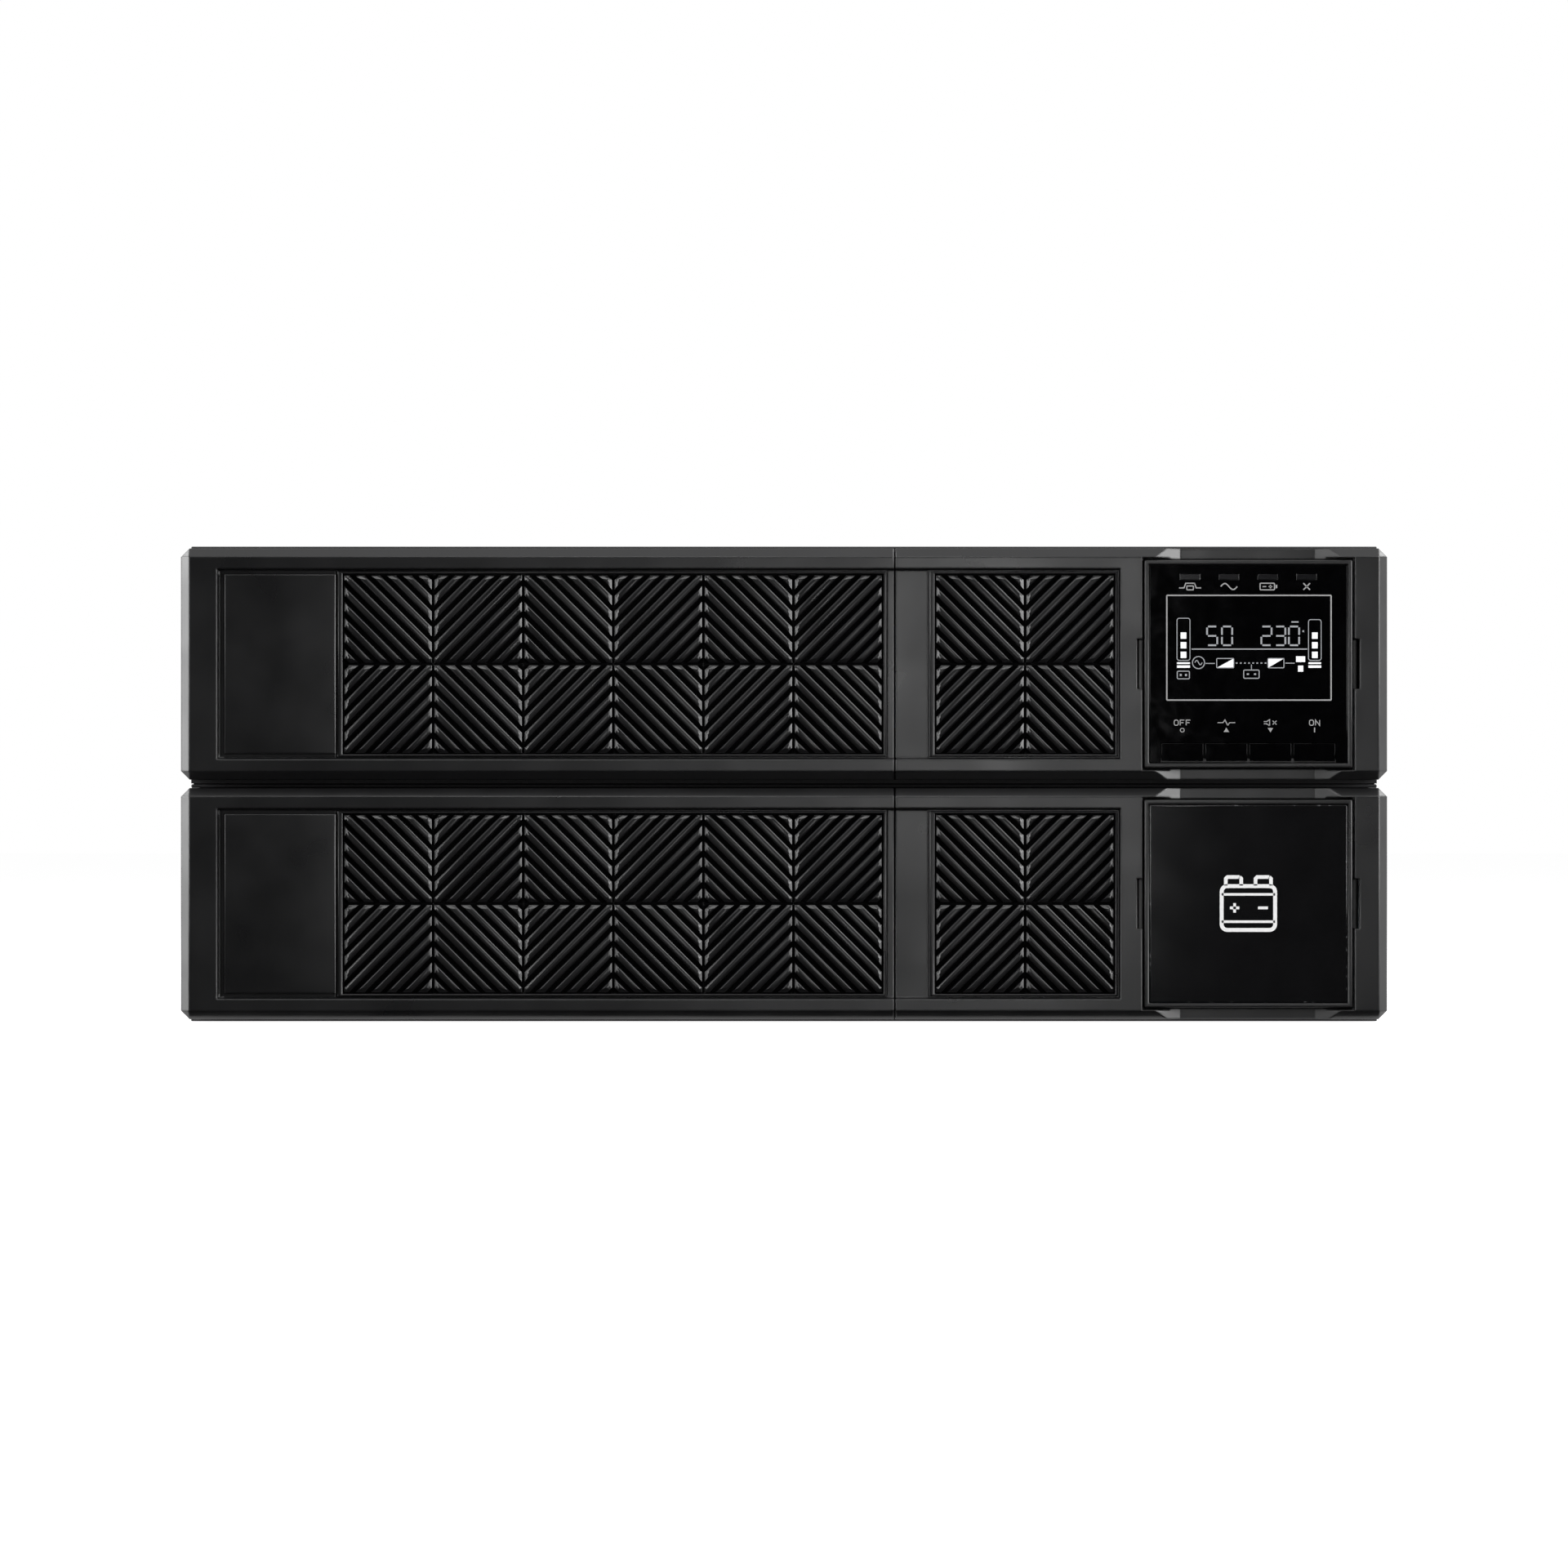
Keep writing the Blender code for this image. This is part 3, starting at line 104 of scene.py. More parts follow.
def add(tree, kind, values=None, links=None, **settings):
    """Adds a node, with its settings, the constant values of its inputs, and links into its inputs."""
    made = tree.nodes.new(kind)
    for name, value in settings.items():
        setattr(made, name, value)
    for socket, value in (values or {}).items():
        made.inputs[socket].default_value = value
    for socket, source in (links or {}).items():
        tree.links.new(source, made.inputs[socket])
    return made


def shading(crease):
    """A modifier's nodes that shade bends up to this many degrees smooth, and sharper ones as edges."""
    tree = bpy.data.node_groups.new(f"shading_{crease}", "GeometryNodeTree")
    for way in ("INPUT", "OUTPUT"):
        tree.interface.new_socket("Geometry", in_out=way, socket_type="NodeSocketGeometry")
    start = add(tree, "NodeGroupInput")
    bare = add(
        tree,
        "GeometryNodeRemoveAttribute",
        {"Name": "custom_normal"},
        {"Geometry": start.outputs[0]},
    )
    smooth = add(tree, "GeometryNodeSetShadeSmooth", None, {"Geometry": bare.outputs[0]})
    bend = add(tree, "GeometryNodeInputMeshEdgeAngle")
    sharp = add(
        tree,
        "FunctionNodeCompare",
        {1: math.radians(crease)},
        {0: bend.outputs["Unsigned Angle"]},
        operation="GREATER_THAN",
    )
    creased = add(
        tree,
        "GeometryNodeSetShadeSmooth",
        {"Shade Smooth": False},
        {"Geometry": smooth.outputs[0], "Selection": sharp.outputs[0]},
        domain="EDGE",
    )
    add(tree, "NodeGroupOutput", None, {0: creased.outputs[0]})
    return tree


FLAT_FACES = shading(5)
ROUND_FACES = shading(32)


def dress(made, edge, *names, faces=ROUND_FACES):
    """Gives CAD nodes a finish, and rounds their edges as pressing or moulding leaves them."""
    for name in names:
        node = frame["nodes"][name]
        node.data.materials.clear()
        node.data.materials.append(made)
        weld = node.modifiers.new("weld", "WELD")
        weld.merge_threshold = 0.00001
        flats = node.modifiers.new("flats", "DECIMATE")
        flats.decimate_type = "DISSOLVE"
        flats.angle_limit = math.radians(0.5)
        node.modifiers.new("shading", "NODES").node_group = faces
        rounding = node.modifiers.new("rounding", "BEVEL")
        rounding.width = edge
        rounding.segments = 3
        rounding.limit_method = "ANGLE"
        rounding.angle_limit = math.radians(38)


# Powder coat: a dark grey-black film. It scatters most light and keeps a weak broad gloss, and its
# orange peel, about 1.2 mm from bump to bump, breaks that gloss up.
powder_coat, tree = material("powder_coat_baked_on_sheet_steel")
place = add(tree, "ShaderNodeTexCoord").outputs["Object"]
cloud = add(tree, "ShaderNodeTexNoise", {"Scale": per_metre(60), "Detail": 3.0}, {"Vector": place})
peel = add(tree, "ShaderNodeTexNoise", {"Scale": per_metre(1.2), "Detail": 2.0}, {"Vector": place})
colour = add(
    tree,
    "ShaderNodeMix",
    {6: linear("19191b"), 7: linear("222224")},
    {0: cloud.outputs["Fac"]},
    data_type="RGBA",
)
gloss = add(tree, "ShaderNodeMapRange", {"To Min": 0.46, "To Max": 0.62}, {"Value": peel.outputs["Fac"]})
skin = add(tree, "ShaderNodeBump", {"Strength": 0.5, "Distance": 0.00006}, {"Height": peel.outputs["Fac"]})
shader = add(
    tree,
    "ShaderNodeBsdfPrincipled",
    {"IOR": 1.5},
    {
        "Base Color": colour.outputs[2],
        "Roughness": gloss.outputs["Result"],
        "Normal": skin.outputs["Normal"],
    },
)
add(tree, "ShaderNodeOutputMaterial", None, {"Surface": shader.outputs["BSDF"]})
dress(
    powder_coat,
    0.0004,
    "power_chassis",
    "power_cover",
    "power_rear_panel",
    "battery_chassis",
    "battery_cover",
    "battery_rear_panel",
    "terminal_cover",
    "comms_card",
)


# Stacking strip
# A thin strip of black closed-cell foam is stuck round the edge of the lower lid.
# The upper module stands on it. Its dull black is painted shade in the gap between the two, so no light
# shows there.
def loft(shape, loops, ring=False):
    """Joins loops of points with quads, closed on itself as a ring or capped at both ends."""
    rows = [[shape.verts.new(point) for point in loop] for loop in loops]
    for row, following in zip(rows, rows[1:] + rows[:1] if ring else rows[1:]):
        for i in range(len(row)):
            j = (i + 1) % len(row)
            shape.faces.new((row[i], row[j], following[j], following[i]))
    if not ring:
        shape.faces.new(rows[0])
        shape.faces.new(rows[-1])


def finished_mesh(name, shape, made, crease=35):
    """A smooth mesh from a bmesh, on which bends of more than this many degrees stay sharp."""
    bmesh.ops.recalc_face_normals(shape, faces=shape.faces)
    mesh = bpy.data.meshes.new(name)
    shape.to_mesh(mesh)
    shape.free()
    mesh.shade_smooth()
    mesh.set_sharp_from_angle(angle=math.radians(crease))
    mesh.materials.append(made)
    return mesh


def piece(name, shape, made, body):
    """A piece of the object from a bmesh in the frame's own metres, which rides on a body."""
    thing = bpy.data.objects.new(name, finished_mesh(name, shape, made))
    bpy.context.scene.collection.objects.link(thing)
    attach(thing, body)
    return thing


# Foam: dull black, with open pores about 0.9 mm wide that swallow light.
foam, tree = material("black_polyurethane_foam")
place = add(tree, "ShaderNodeTexCoord").outputs["Object"]
pores = add(tree, "ShaderNodeTexVoronoi", {"Scale": per_metre(0.9)}, {"Vector": place})
colour = add(
    tree,
    "ShaderNodeMix",
    {6: linear("030303"), 7: linear("0a0a0b")},
    {0: pores.outputs["Distance"]},
    data_type="RGBA",
)
skin = add(
    tree,
    "ShaderNodeBump",
    {"Strength": 0.8, "Distance": 0.0004},
    {"Height": pores.outputs["Distance"]},
)
shader = add(
    tree,
    "ShaderNodeBsdfPrincipled",
    {"Roughness": 0.95, "Specular IOR Level": 0.15},
    {"Base Color": colour.outputs[2], "Normal": skin.outputs["Normal"]},
)
add(tree, "ShaderNodeOutputMaterial", None, {"Surface": shader.outputs["BSDF"]})
lid_low, lid_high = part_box("battery_cover")
tray_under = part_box("power_chassis")[0].z
strip_outer, strip_inner = 0.0008, 0.006
# Dull black strip: painted shade that fills the gap between the modules
shape = bmesh.new()
loops = []
for inset, height in (
    (strip_outer, lid_high.z),
    (strip_outer, tray_under),
    (strip_inner, tray_under),
    (strip_inner, lid_high.z),
):
    x = lid_low.x + inset, lid_high.x - inset
    y = lid_low.y + inset, lid_high.y - inset
    loops.append([(x[0], y[0], height), (x[1], y[0], height), (x[1], y[1], height), (x[0], y[1], height)])
loft(shape, loops, ring=True)
piece("stacking_strip", shape, foam, "base")


# Lid seals
# A bar of the same foam is stuck inside each rear panel, under the lid, and a thin tape under the front
# edge of the lower lid. Their dull black is painted shade: they keep light out of the slits there.
def rectangle(x, y, z, inset=0.0):
    """The corners of an upright rectangle at a depth, drawn in from its sides."""
    return [
        (x[0] + inset, y, z[0] + inset),
        (x[1] - inset, y, z[0] + inset),
        (x[1] - inset, y, z[1] - inset),
        (x[0] + inset, y, z[1] - inset),
    ]


SHEET = 0.0012
bar_depth, bar_lap, bar_edge, glue = 0.0030, 0.0016, 0.0004, 0.0001
# Dull black bars: painted shade that closes the slits under the lids at the rear
for module in ("power", "battery"):
    panel_low, panel_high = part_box(module + "_rear_panel")
    lid_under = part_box(module + "_cover")[1].z - SHEET
    x, z = (panel_low.x, panel_high.x), (panel_high.z - bar_lap, lid_under)
    shape = bmesh.new()
    loft(
        shape,
        [
            rectangle(x, panel_low.y - bar_depth, z, bar_edge),
            rectangle(x, panel_low.y - bar_depth + bar_edge, z),
            rectangle(x, panel_low.y - glue, z),
        ],
    )
    piece(module + "_rear_seal", shape, foam, "base")
# Dull black tape: painted shade that closes the slit under the front edge of the lower lid
tape_inset, tape_front, tape_back, tape_edge = 0.0002, 0.0003, 0.0030, 0.0001
x = lid_low.x + tape_inset, lid_high.x - tape_inset
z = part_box("battery_left_bezel")[1].z + 0.00002, lid_under + 0.00005
shape = bmesh.new()
loft(
    shape,
    [
        rectangle(x, lid_low.y + tape_front, z, 0.00004),
        rectangle(x, lid_low.y + tape_front + tape_edge, z),
        rectangle(x, lid_low.y + tape_back, z),
    ],
)
piece("battery_front_seal", shape, foam, "base")

# Bezels
# Each module's front is two halves moulded in black ABS that snap into the steel behind.
# The tool was spark eroded to a fine satin, so the face is hazy and shows soft, cloudy reflections.

# Satin ABS: nearly black, with a broad soft gloss and edges rounded 0.9 mm. Flow in the mould leaves a
# waviness some 50 mm long and patches of duller skin. The eroded grain is 0.1 mm, drawn 0.5 mm to show.
satin_abs, tree = material("black_abs_moulded_satin")
place = add(tree, "ShaderNodeTexCoord").outputs["Object"]
edges = add(tree, "ShaderNodeBevel", {"Radius": 0.0009}, samples=6)
wave = add(tree, "ShaderNodeTexNoise", {"Scale": per_metre(50), "Detail": 2.0}, {"Vector": place})
patch = add(tree, "ShaderNodeTexNoise", {"Scale": per_metre(26), "Detail": 2.0}, {"Vector": place})
grain = add(tree, "ShaderNodeTexNoise", {"Scale": per_metre(0.5), "Detail": 1.0}, {"Vector": place})
colour = add(
    tree,
    "ShaderNodeMix",
    {6: linear("0e0e0f"), 7: linear("141415")},
    {0: patch.outputs["Fac"]},
    data_type="RGBA",
)
gloss = add(
    tree,
    "ShaderNodeMapRange",
    {"From Min": 0.3, "From Max": 0.7, "To Min": 0.27, "To Max": 0.34},
    {"Value": patch.outputs["Fac"]},
)
swell = add(
    tree,
    "ShaderNodeBump",
    {"Strength": 0.7, "Distance": 0.001},
    {"Height": wave.outputs["Fac"], "Normal": edges.outputs["Normal"]},
)
skin = add(
    tree,
    "ShaderNodeBump",
    {"Strength": 0.14, "Distance": 0.00002},
    {"Height": grain.outputs["Fac"], "Normal": swell.outputs["Normal"]},
)
shader = add(
    tree,
    "ShaderNodeBsdfPrincipled",
    {"IOR": 1.54},
    {
        "Base Color": colour.outputs[2],
        "Roughness": gloss.outputs["Result"],
        "Normal": skin.outputs["Normal"],
    },
)
add(tree, "ShaderNodeOutputMaterial", None, {"Surface": shader.outputs["BSDF"]})
dress(
    satin_abs,
    0.00015,
    "power_left_bezel",
    "power_right_bezel",
    "battery_left_bezel",
    "battery_right_bezel",
    faces=FLAT_FACES,
)


# Grilles
# Each grille is one black ABS moulding pushed in from behind: a rim, thin bars between square cells,
# and eleven slanting ribs a cell. The ribs lean the other way in the next cell and end in facets.
RIB_PITCH = 0.0040
RIBS_EACH_SIDE = 5
# Half the width of a rib, how far it ends inside its cell, and its depth below the crest
RIB_LEVELS = (
    (0.00122, 0.00045, 0.0042),
    (0.00120, 0.00050, 0.00082),
    (0.00117, 0.00066, 0.00070),
    (0.00108, 0.00122, 0.00044),
    (0.00090, 0.00157, 0.00028),
    (0.00068, 0.00190, 0.00012),
    (0.00036, 0.00220, 0.00002),
)
# A rounded edge as shares of a quarter circle, across it and down
ROLL = ((0.0, 1.0), (0.08, 0.62), (0.29, 0.29), (0.62, 0.08), (1.0, 0.0))


def cell_ribs(shape, x, z, side, crest, lean):
    """The ribs of one cell about its centre, as bars at 45 degrees that the cell's sides cut off."""
    root = math.sqrt(0.5)
    for step in range(-RIBS_EACH_SIDE, RIBS_EACH_SIDE + 1):
        loops = []
        for half, inset, depth in RIB_LEVELS:
            reach = (side / 2 - inset) / root
            across = [step * RIB_PITCH + half * k for k in (-1, 0, 1)]
            ends = [max(0.00005, reach - abs(u)) for u in across]
            path = [(u, -t) for u, t in zip(across, ends)]
            path += [(u, t) for u, t in zip(across[::-1], ends[::-1])]
            loops.append([(x + lean * (u + t) * root, crest + depth, z + (u - t) * root) for u, t in path])
        loft(shape, loops)


def grille(name, body, made):
    """Builds a grille in the space of its CAD node and stands it in for that node."""
    low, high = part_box(name)
    flange, flange_depth, divider, rim = 0.0015, 0.0017, 0.0022, 0.0010
    divider_roll, rim_roll, roll_depth, crest_depth = 0.0010, 0.00045, 0.0009, 0.0001
    back = high.y
    flange_front = back - flange_depth
    outer = (low.x + flange, high.x - flange), (low.z + flange, high.z - flange)
    field = (outer[0][0] + divider, outer[0][1] - rim), (outer[1][0] + rim, outer[1][1] - rim)
    loops = [
        rectangle((low.x, high.x), back, (low.z, high.z)),
        rectangle((low.x, high.x), flange_front, (low.z, high.z)),
        rectangle(outer[0], flange_front, outer[1]),
    ]
    # The rim is rolled over on both sides, and the divider at the left is rolled the widest
    for across, down in ROLL:
        x = outer[0][0] + divider_roll * across, outer[0][1] - rim_roll * across
        z = outer[1][0] + rim_roll * across, outer[1][1] - rim_roll * across
        loops.append(rectangle(x, low.y + roll_depth * down, z))
    for across, down in reversed(ROLL):
        x = field[0][0] - divider_roll * across, field[0][1] + rim_roll * across
        z = field[1][0] - rim_roll * across, field[1][1] + rim_roll * across
        loops.append(rectangle(x, low.y + roll_depth * down, z))
    loops.append(rectangle(field[0], back, field[1]))
    shape = bmesh.new()
    loft(shape, loops, ring=True)
    side = (field[1][1] - field[1][0]) / 2
    columns = round((field[0][1] - field[0][0]) / side)
    # The bars between cells are ridged, so that they stay dark from the front
    bar, ridge = 0.0010, back - 0.0012
    for column in range(1, columns):
        x = field[0][0] + column * side
        loft(
            shape,
            [
                [(x - bar, back, z), (x, ridge, z), (x + bar, back, z)]
                for z in (field[1][0] - rim / 2, field[1][1] + rim / 2)
            ],
        )
    middle = sum(field[1]) / 2
    loft(
        shape,
        [
            [(x, back, middle - bar), (x, ridge, middle), (x, back, middle + bar)]
            for x in (field[0][0] - rim / 2, field[0][1] + rim / 2)
        ],
    )
    for column in range(columns):
        for row in range(2):
            lean = 1 if (column + row) % 2 == 0 else -1
            x = field[0][0] + (column + 0.5) * side
            z = field[1][1] - (row + 0.5) * side
            cell_ribs(shape, x, z, side, low.y + crest_depth, lean)
    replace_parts(piece(name + "_ribs", shape, made, body), name)


# Grille ABS: the same black plastic from a smoother tool, so crests and facets give tighter, brighter
# lights. Its fine grain is drawn 0.4 mm wide to show.
grille_abs, tree = material("black_abs_moulded_semi_gloss")
place = add(tree, "ShaderNodeTexCoord").outputs["Object"]
patch = add(tree, "ShaderNodeTexNoise", {"Scale": per_metre(20), "Detail": 2.0}, {"Vector": place})
grain = add(tree, "ShaderNodeTexNoise", {"Scale": per_metre(0.4), "Detail": 1.0}, {"Vector": place})
colour = add(
    tree,
    "ShaderNodeMix",
    {6: linear("0c0c0d"), 7: linear("131314")},
    {0: patch.outputs["Fac"]},
    data_type="RGBA",
)
gloss = add(
    tree,
    "ShaderNodeMapRange",
    {"From Min": 0.3, "From Max": 0.7, "To Min": 0.27, "To Max": 0.34},
    {"Value": patch.outputs["Fac"]},
)
skin = add(tree, "ShaderNodeBump", {"Strength": 0.2, "Distance": 0.00002}, {"Height": grain.outputs["Fac"]})
shader = add(
    tree,
    "ShaderNodeBsdfPrincipled",
    {"IOR": 1.54},
    {
        "Base Color": colour.outputs[2],
        "Roughness": gloss.outputs["Result"],
        "Normal": skin.outputs["Normal"],
    },
)
add(tree, "ShaderNodeOutputMaterial", None, {"Surface": shader.outputs["BSDF"]})
grille_bodies = {
    "power_left_grille": "power_left_cover",
    "power_right_grille": "power_right_cover",
    "battery_left_grille": "battery_left_cover",
    "battery_right_grille": "battery_right_cover",
}
for name, body in grille_bodies.items():
    grille(name, body, grille_abs)

# Shade pads
# A pad of black reticulated foam lies behind each grille, as painted shade for the inside behind its
# openings.
# Nothing of the inside shows through it.
shade_pad_gap = 0.0002
# The depth of each ring of a pad behind its front, and how far it is drawn in
SHADE_PAD_RINGS = (0.0, 0.0012), (0.0004, 0.0005), (0.0036, 0.0005), (0.0040, 0.0012)
# Each black pad is painted shade behind a grille's openings
for name, body in grille_bodies.items():
    low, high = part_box(name)
    x, z = (low.x, high.x), (low.z, high.z)
    front = high.y + shade_pad_gap
    shape = bmesh.new()
    loft(shape, [rectangle(x, front + depth, z, inset) for depth, inset in SHADE_PAD_RINGS])
    piece(name.replace("grille", "shade_pad"), shape, foam, body)

# Name plates
# A thin bare plate of the grilles' ABS is glued in the left end of each recess, clear of its wall.
# Its rolled edges catch a thin line of light.
plate_clear, plate_roll, plate_roll_depth = 0.0013, 0.0008, 0.0006
for module in ("power", "battery"):
    low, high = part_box(module + "_nameplate")
    x, z = (low.x + plate_clear, high.x), (low.z, high.z)
    shape = bmesh.new()
    loops = [rectangle(x, high.y, z)]
    for across, down in ROLL:
        loops.append(rectangle(x, low.y + plate_roll_depth * down, z, plate_roll * across))
    loft(shape, loops)
    plate = piece(module + "_plain_plate", shape, grille_abs, module + "_left_cover")
    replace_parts(plate, module + "_nameplate")

# Display
# The display is a box of satin ABS that pulls out of the right bezel. A polished black acrylic window
# is glued into its rim, with four status lights above and four keys of the same acrylic below.
dress(satin_abs, 0.0004, "display_case")

# Polished acrylic: deep black and mirror smooth, with a faint haze of wiping marks some 8 mm wide.
acrylic, tree = material("black_acrylic_polished")
place = add(tree, "ShaderNodeTexCoord").outputs["Object"]
smear = add(
    tree,
    "ShaderNodeTexNoise",
    {"Scale": per_metre(8), "Detail": 5.0, "Distortion": 1.2},
    {"Vector": place},
)
gloss = add(
    tree,
    "ShaderNodeMapRange",
    {"From Min": 0.35, "From Max": 0.75, "To Min": 0.03, "To Max": 0.08},
    {"Value": smear.outputs["Fac"]},
)
colour = add(
    tree,
    "ShaderNodeMix",
    {6: linear("020202"), 7: linear("040405")},
    {0: smear.outputs["Fac"]},
    data_type="RGBA",
)
shader = add(
    tree,
    "ShaderNodeBsdfPrincipled",
    {"IOR": 1.49},
    {"Base Color": colour.outputs[2], "Roughness": gloss.outputs["Result"]},
)
add(tree, "ShaderNodeOutputMaterial", None, {"Surface": shader.outputs["BSDF"]})
dress(acrylic, 0.0001, "display_window")
dress(acrylic, 0.00004, "off_key", "up_key", "down_key", "on_key")


def mottled(name, tones, width, detail, finish, gloss=None, stretch=None):
    """A finish in two tones, in soft patches this many millimetres wide.

    The patches may be drawn out by a stretch, and the roughness may run with them between two values.
    """
    made, tree = material(name)
    place = add(tree, "ShaderNodeTexCoord").outputs["Object"]
    if stretch:
        place = add(tree, "ShaderNodeMapping", {"Scale": stretch}, {"Vector": place}).outputs["Vector"]
    patch = add(
        tree,
        "ShaderNodeTexNoise",
        {"Scale": per_metre(width), "Detail": detail},
        {"Vector": place},
    )
    colour = add(
        tree,
        "ShaderNodeMix",
        {6: linear(tones[0]), 7: linear(tones[1])},
        {0: patch.outputs["Fac"]},
        data_type="RGBA",
    )
    links = {"Base Color": colour.outputs[2]}
    if "Emission Strength" in finish:
        links["Emission Color"] = colour.outputs[2]
    if gloss:
        rough = add(
            tree,
            "ShaderNodeMapRange",
            {"To Min": gloss[0], "To Max": gloss[1]},
            {"Value": patch.outputs["Fac"]},
        )
        links["Roughness"] = rough.outputs["Result"]
    shader = add(tree, "ShaderNodeBsdfPrincipled", finish, links)
    add(tree, "ShaderNodeOutputMaterial", None, {"Surface": shader.outputs["BSDF"]})
    return made


# Smoked acrylic: dull grey with the lamps off, and a little milky where the light guide scatters.
smoked = mottled(
    "smoked_acrylic_moulded",
    ("060607", "161618"),
    width=1.5,
    detail=3.0,
    finish={"IOR": 1.49, "Roughness": 0.12},
)
dress(smoked, 0.00005, "status_light_bar")

# Key mat
# A black silicone sheet lies on the display's board behind the keys and springs them back.
# Through the slits between the keys only this mat shows.

# Silicone: soft dull black, with a faint bloom in patches some 4 mm wide.
rubber = mottled(
    "black_silicone_moulded",
    ("080809", "111112"),
    width=4,
    detail=3.0,
    finish={"IOR": 1.43, "Roughness": 0.7},
)
mat_lap, mat_short, mat_over = 0.0006, 0.0010, 0.0020
# How far each ring of the mat stands before the board, and how far it is drawn in
MAT_RINGS = (0.00018, 0.0001), (0.00012, 0.0), (0.00002, 0.0)
first_low, first_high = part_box("off_key")
x = first_low.x - mat_lap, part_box("on_key")[1].x + mat_lap
z = first_low.z + mat_short, first_high.z + mat_over
board_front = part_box("display_board")[0].y
shape = bmesh.new()
loft(shape, [rectangle(x, board_front - out, z, inset) for out, inset in MAT_RINGS])
piece("key_mat", shape, rubber, "display")


# Display legend
# A thin frame line round the panel, a sign under each light and a legend over each key.
# They are grey ink screened on the window, a few hundredths of a millimetre thick.
def stroke(points, width, closed=False):
    """Quads along a line of points in the face, with mitred corners."""
    count = len(points)
    sides = []
    for i in range(count):
        here = Vector(points[i])
        ways = []
        if closed or i > 0:
            ways.append((here - Vector(points[i - 1])).normalized())
        if closed or i < count - 1:
            ways.append((Vector(points[(i + 1) % count]) - here).normalized())
        way = sum(ways, Vector((0, 0))).normalized()
        mitre = width / 2 / max(0.35, way.dot(ways[0]))
        aside = Vector((-way.y, way.x)) * mitre
        sides.append((here + aside, here - aside))
    quads = []
    for i in range(count if closed else count - 1):
        near, far = sides[i], sides[(i + 1) % count]
        quads.append([near[0], far[0], far[1], near[1]])
    return quads


def oval(x, z, radius, steps=24):
    turns = [2 * math.pi * step / steps for step in range(steps)]
    return [(x + radius * math.cos(turn), z + radius * math.sin(turn)) for turn in turns]


def round_box(x, z, radius, steps=4):
    """The outline of a box with round corners, from its spans."""
    points = []
    for quarter, (cx, cz) in enumerate(((x[1], z[1]), (x[0], z[1]), (x[0], z[0]), (x[1], z[0]))):
        mx = cx + (radius if quarter in (1, 2) else -radius)
        mz = cz + (radius if quarter in (2, 3) else -radius)
        for step in range(steps + 1):
            turn = (quarter + step / steps) * math.pi / 2
            points.append((mx + radius * math.cos(turn), mz + radius * math.sin(turn)))
    return points


def wave_line(x, z, length, height, steps=16):
    """One period of a sine about a centre."""
    shares = [step / steps for step in range(steps + 1)]
    return [(x + length * (s - 0.5), z + height * math.sin(2 * math.pi * s)) for s in shares]


def block(x, z):
    return [[(x[0], z[0]), (x[1], z[0]), (x[1], z[1]), (x[0], z[1])]]


def capitals(word, x, z, width, height, line):
    """The letters O, F and N centred on a point, as strokes."""
    marks = []
    step = width * 1.45
    left = x - (len(word) - 1) * step / 2 - width / 2
    low, top = z - height / 2, z + height / 2
    for number, letter in enumerate(word):
        near = left + number * step
        far = near + width
        if letter == "O":
            marks += stroke(round_box((near, far), (low, top), width * 0.4), line, True)
        elif letter == "F":
            marks += stroke([(far, top), (near, top), (near, low)], line)
            marks += stroke([(near, z), (far - width * 0.2, z)], line)
        else:
            marks += stroke([(near, low), (near, top), (far, low), (far, top)], line)
    return marks


def ink(name, marks, centre, made, body, out=-1):
    """Marks in millimetres about a centre, raised off the face that carries them, to the front or rear."""
    shape = bmesh.new()
    for mark in marks:
        loops = []
        for rise in (-0.00001, 0.00003):
            y = centre[1] + out * rise
            loops.append([(centre[0] + p[0] / 1000, y, centre[2] + p[1] / 1000) for p in mark])
        loft(shape, loops)
    piece(name, shape, made, body)


window_low, window_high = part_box("display_window")
display_face = (window_low.x + window_high.x) / 2, window_low.y, (window_low.z + window_high.z) / 2
legend = stroke(round_box((-29.6, 30.0), (-13.1, 24.9), 0.3), 0.5, True)

off_x, up_x, down_x, on_x = -24.0, -8.0, 8.0, 24.0
word_z, letter_width, letter_height, key_line = -21.3, 1.5, 1.9, 0.32
for word, x in (("OFF", off_x), ("ON", on_x)):
    legend += capitals(word, x, word_z, letter_width, letter_height, key_line)
legend += stroke(oval(off_x, -24.0, 0.7), 0.28, True)
legend.append([(up_x - 1.0, -24.7), (up_x + 1.0, -24.7), (up_x, -23.1)])
legend.append([(down_x - 1.0, -23.2), (down_x, -24.8), (down_x + 1.0, -23.2)])

by_x, line_x, battery_x, fault_x = -21.15, -7.05, 7.05, 21.15
light_line, bold_line = 0.4, 0.45
legend += stroke(round_box((by_x - 1.2, by_x + 1.2), (26.9, 28.3), 0.2), light_line, True)
legend += stroke(wave_line(line_x, 28.1, 6.0, 1.1), bold_line)
legend += stroke(round_box((battery_x - 2.8, battery_x + 2.4), (26.9, 29.3), 0.3), light_line, True)

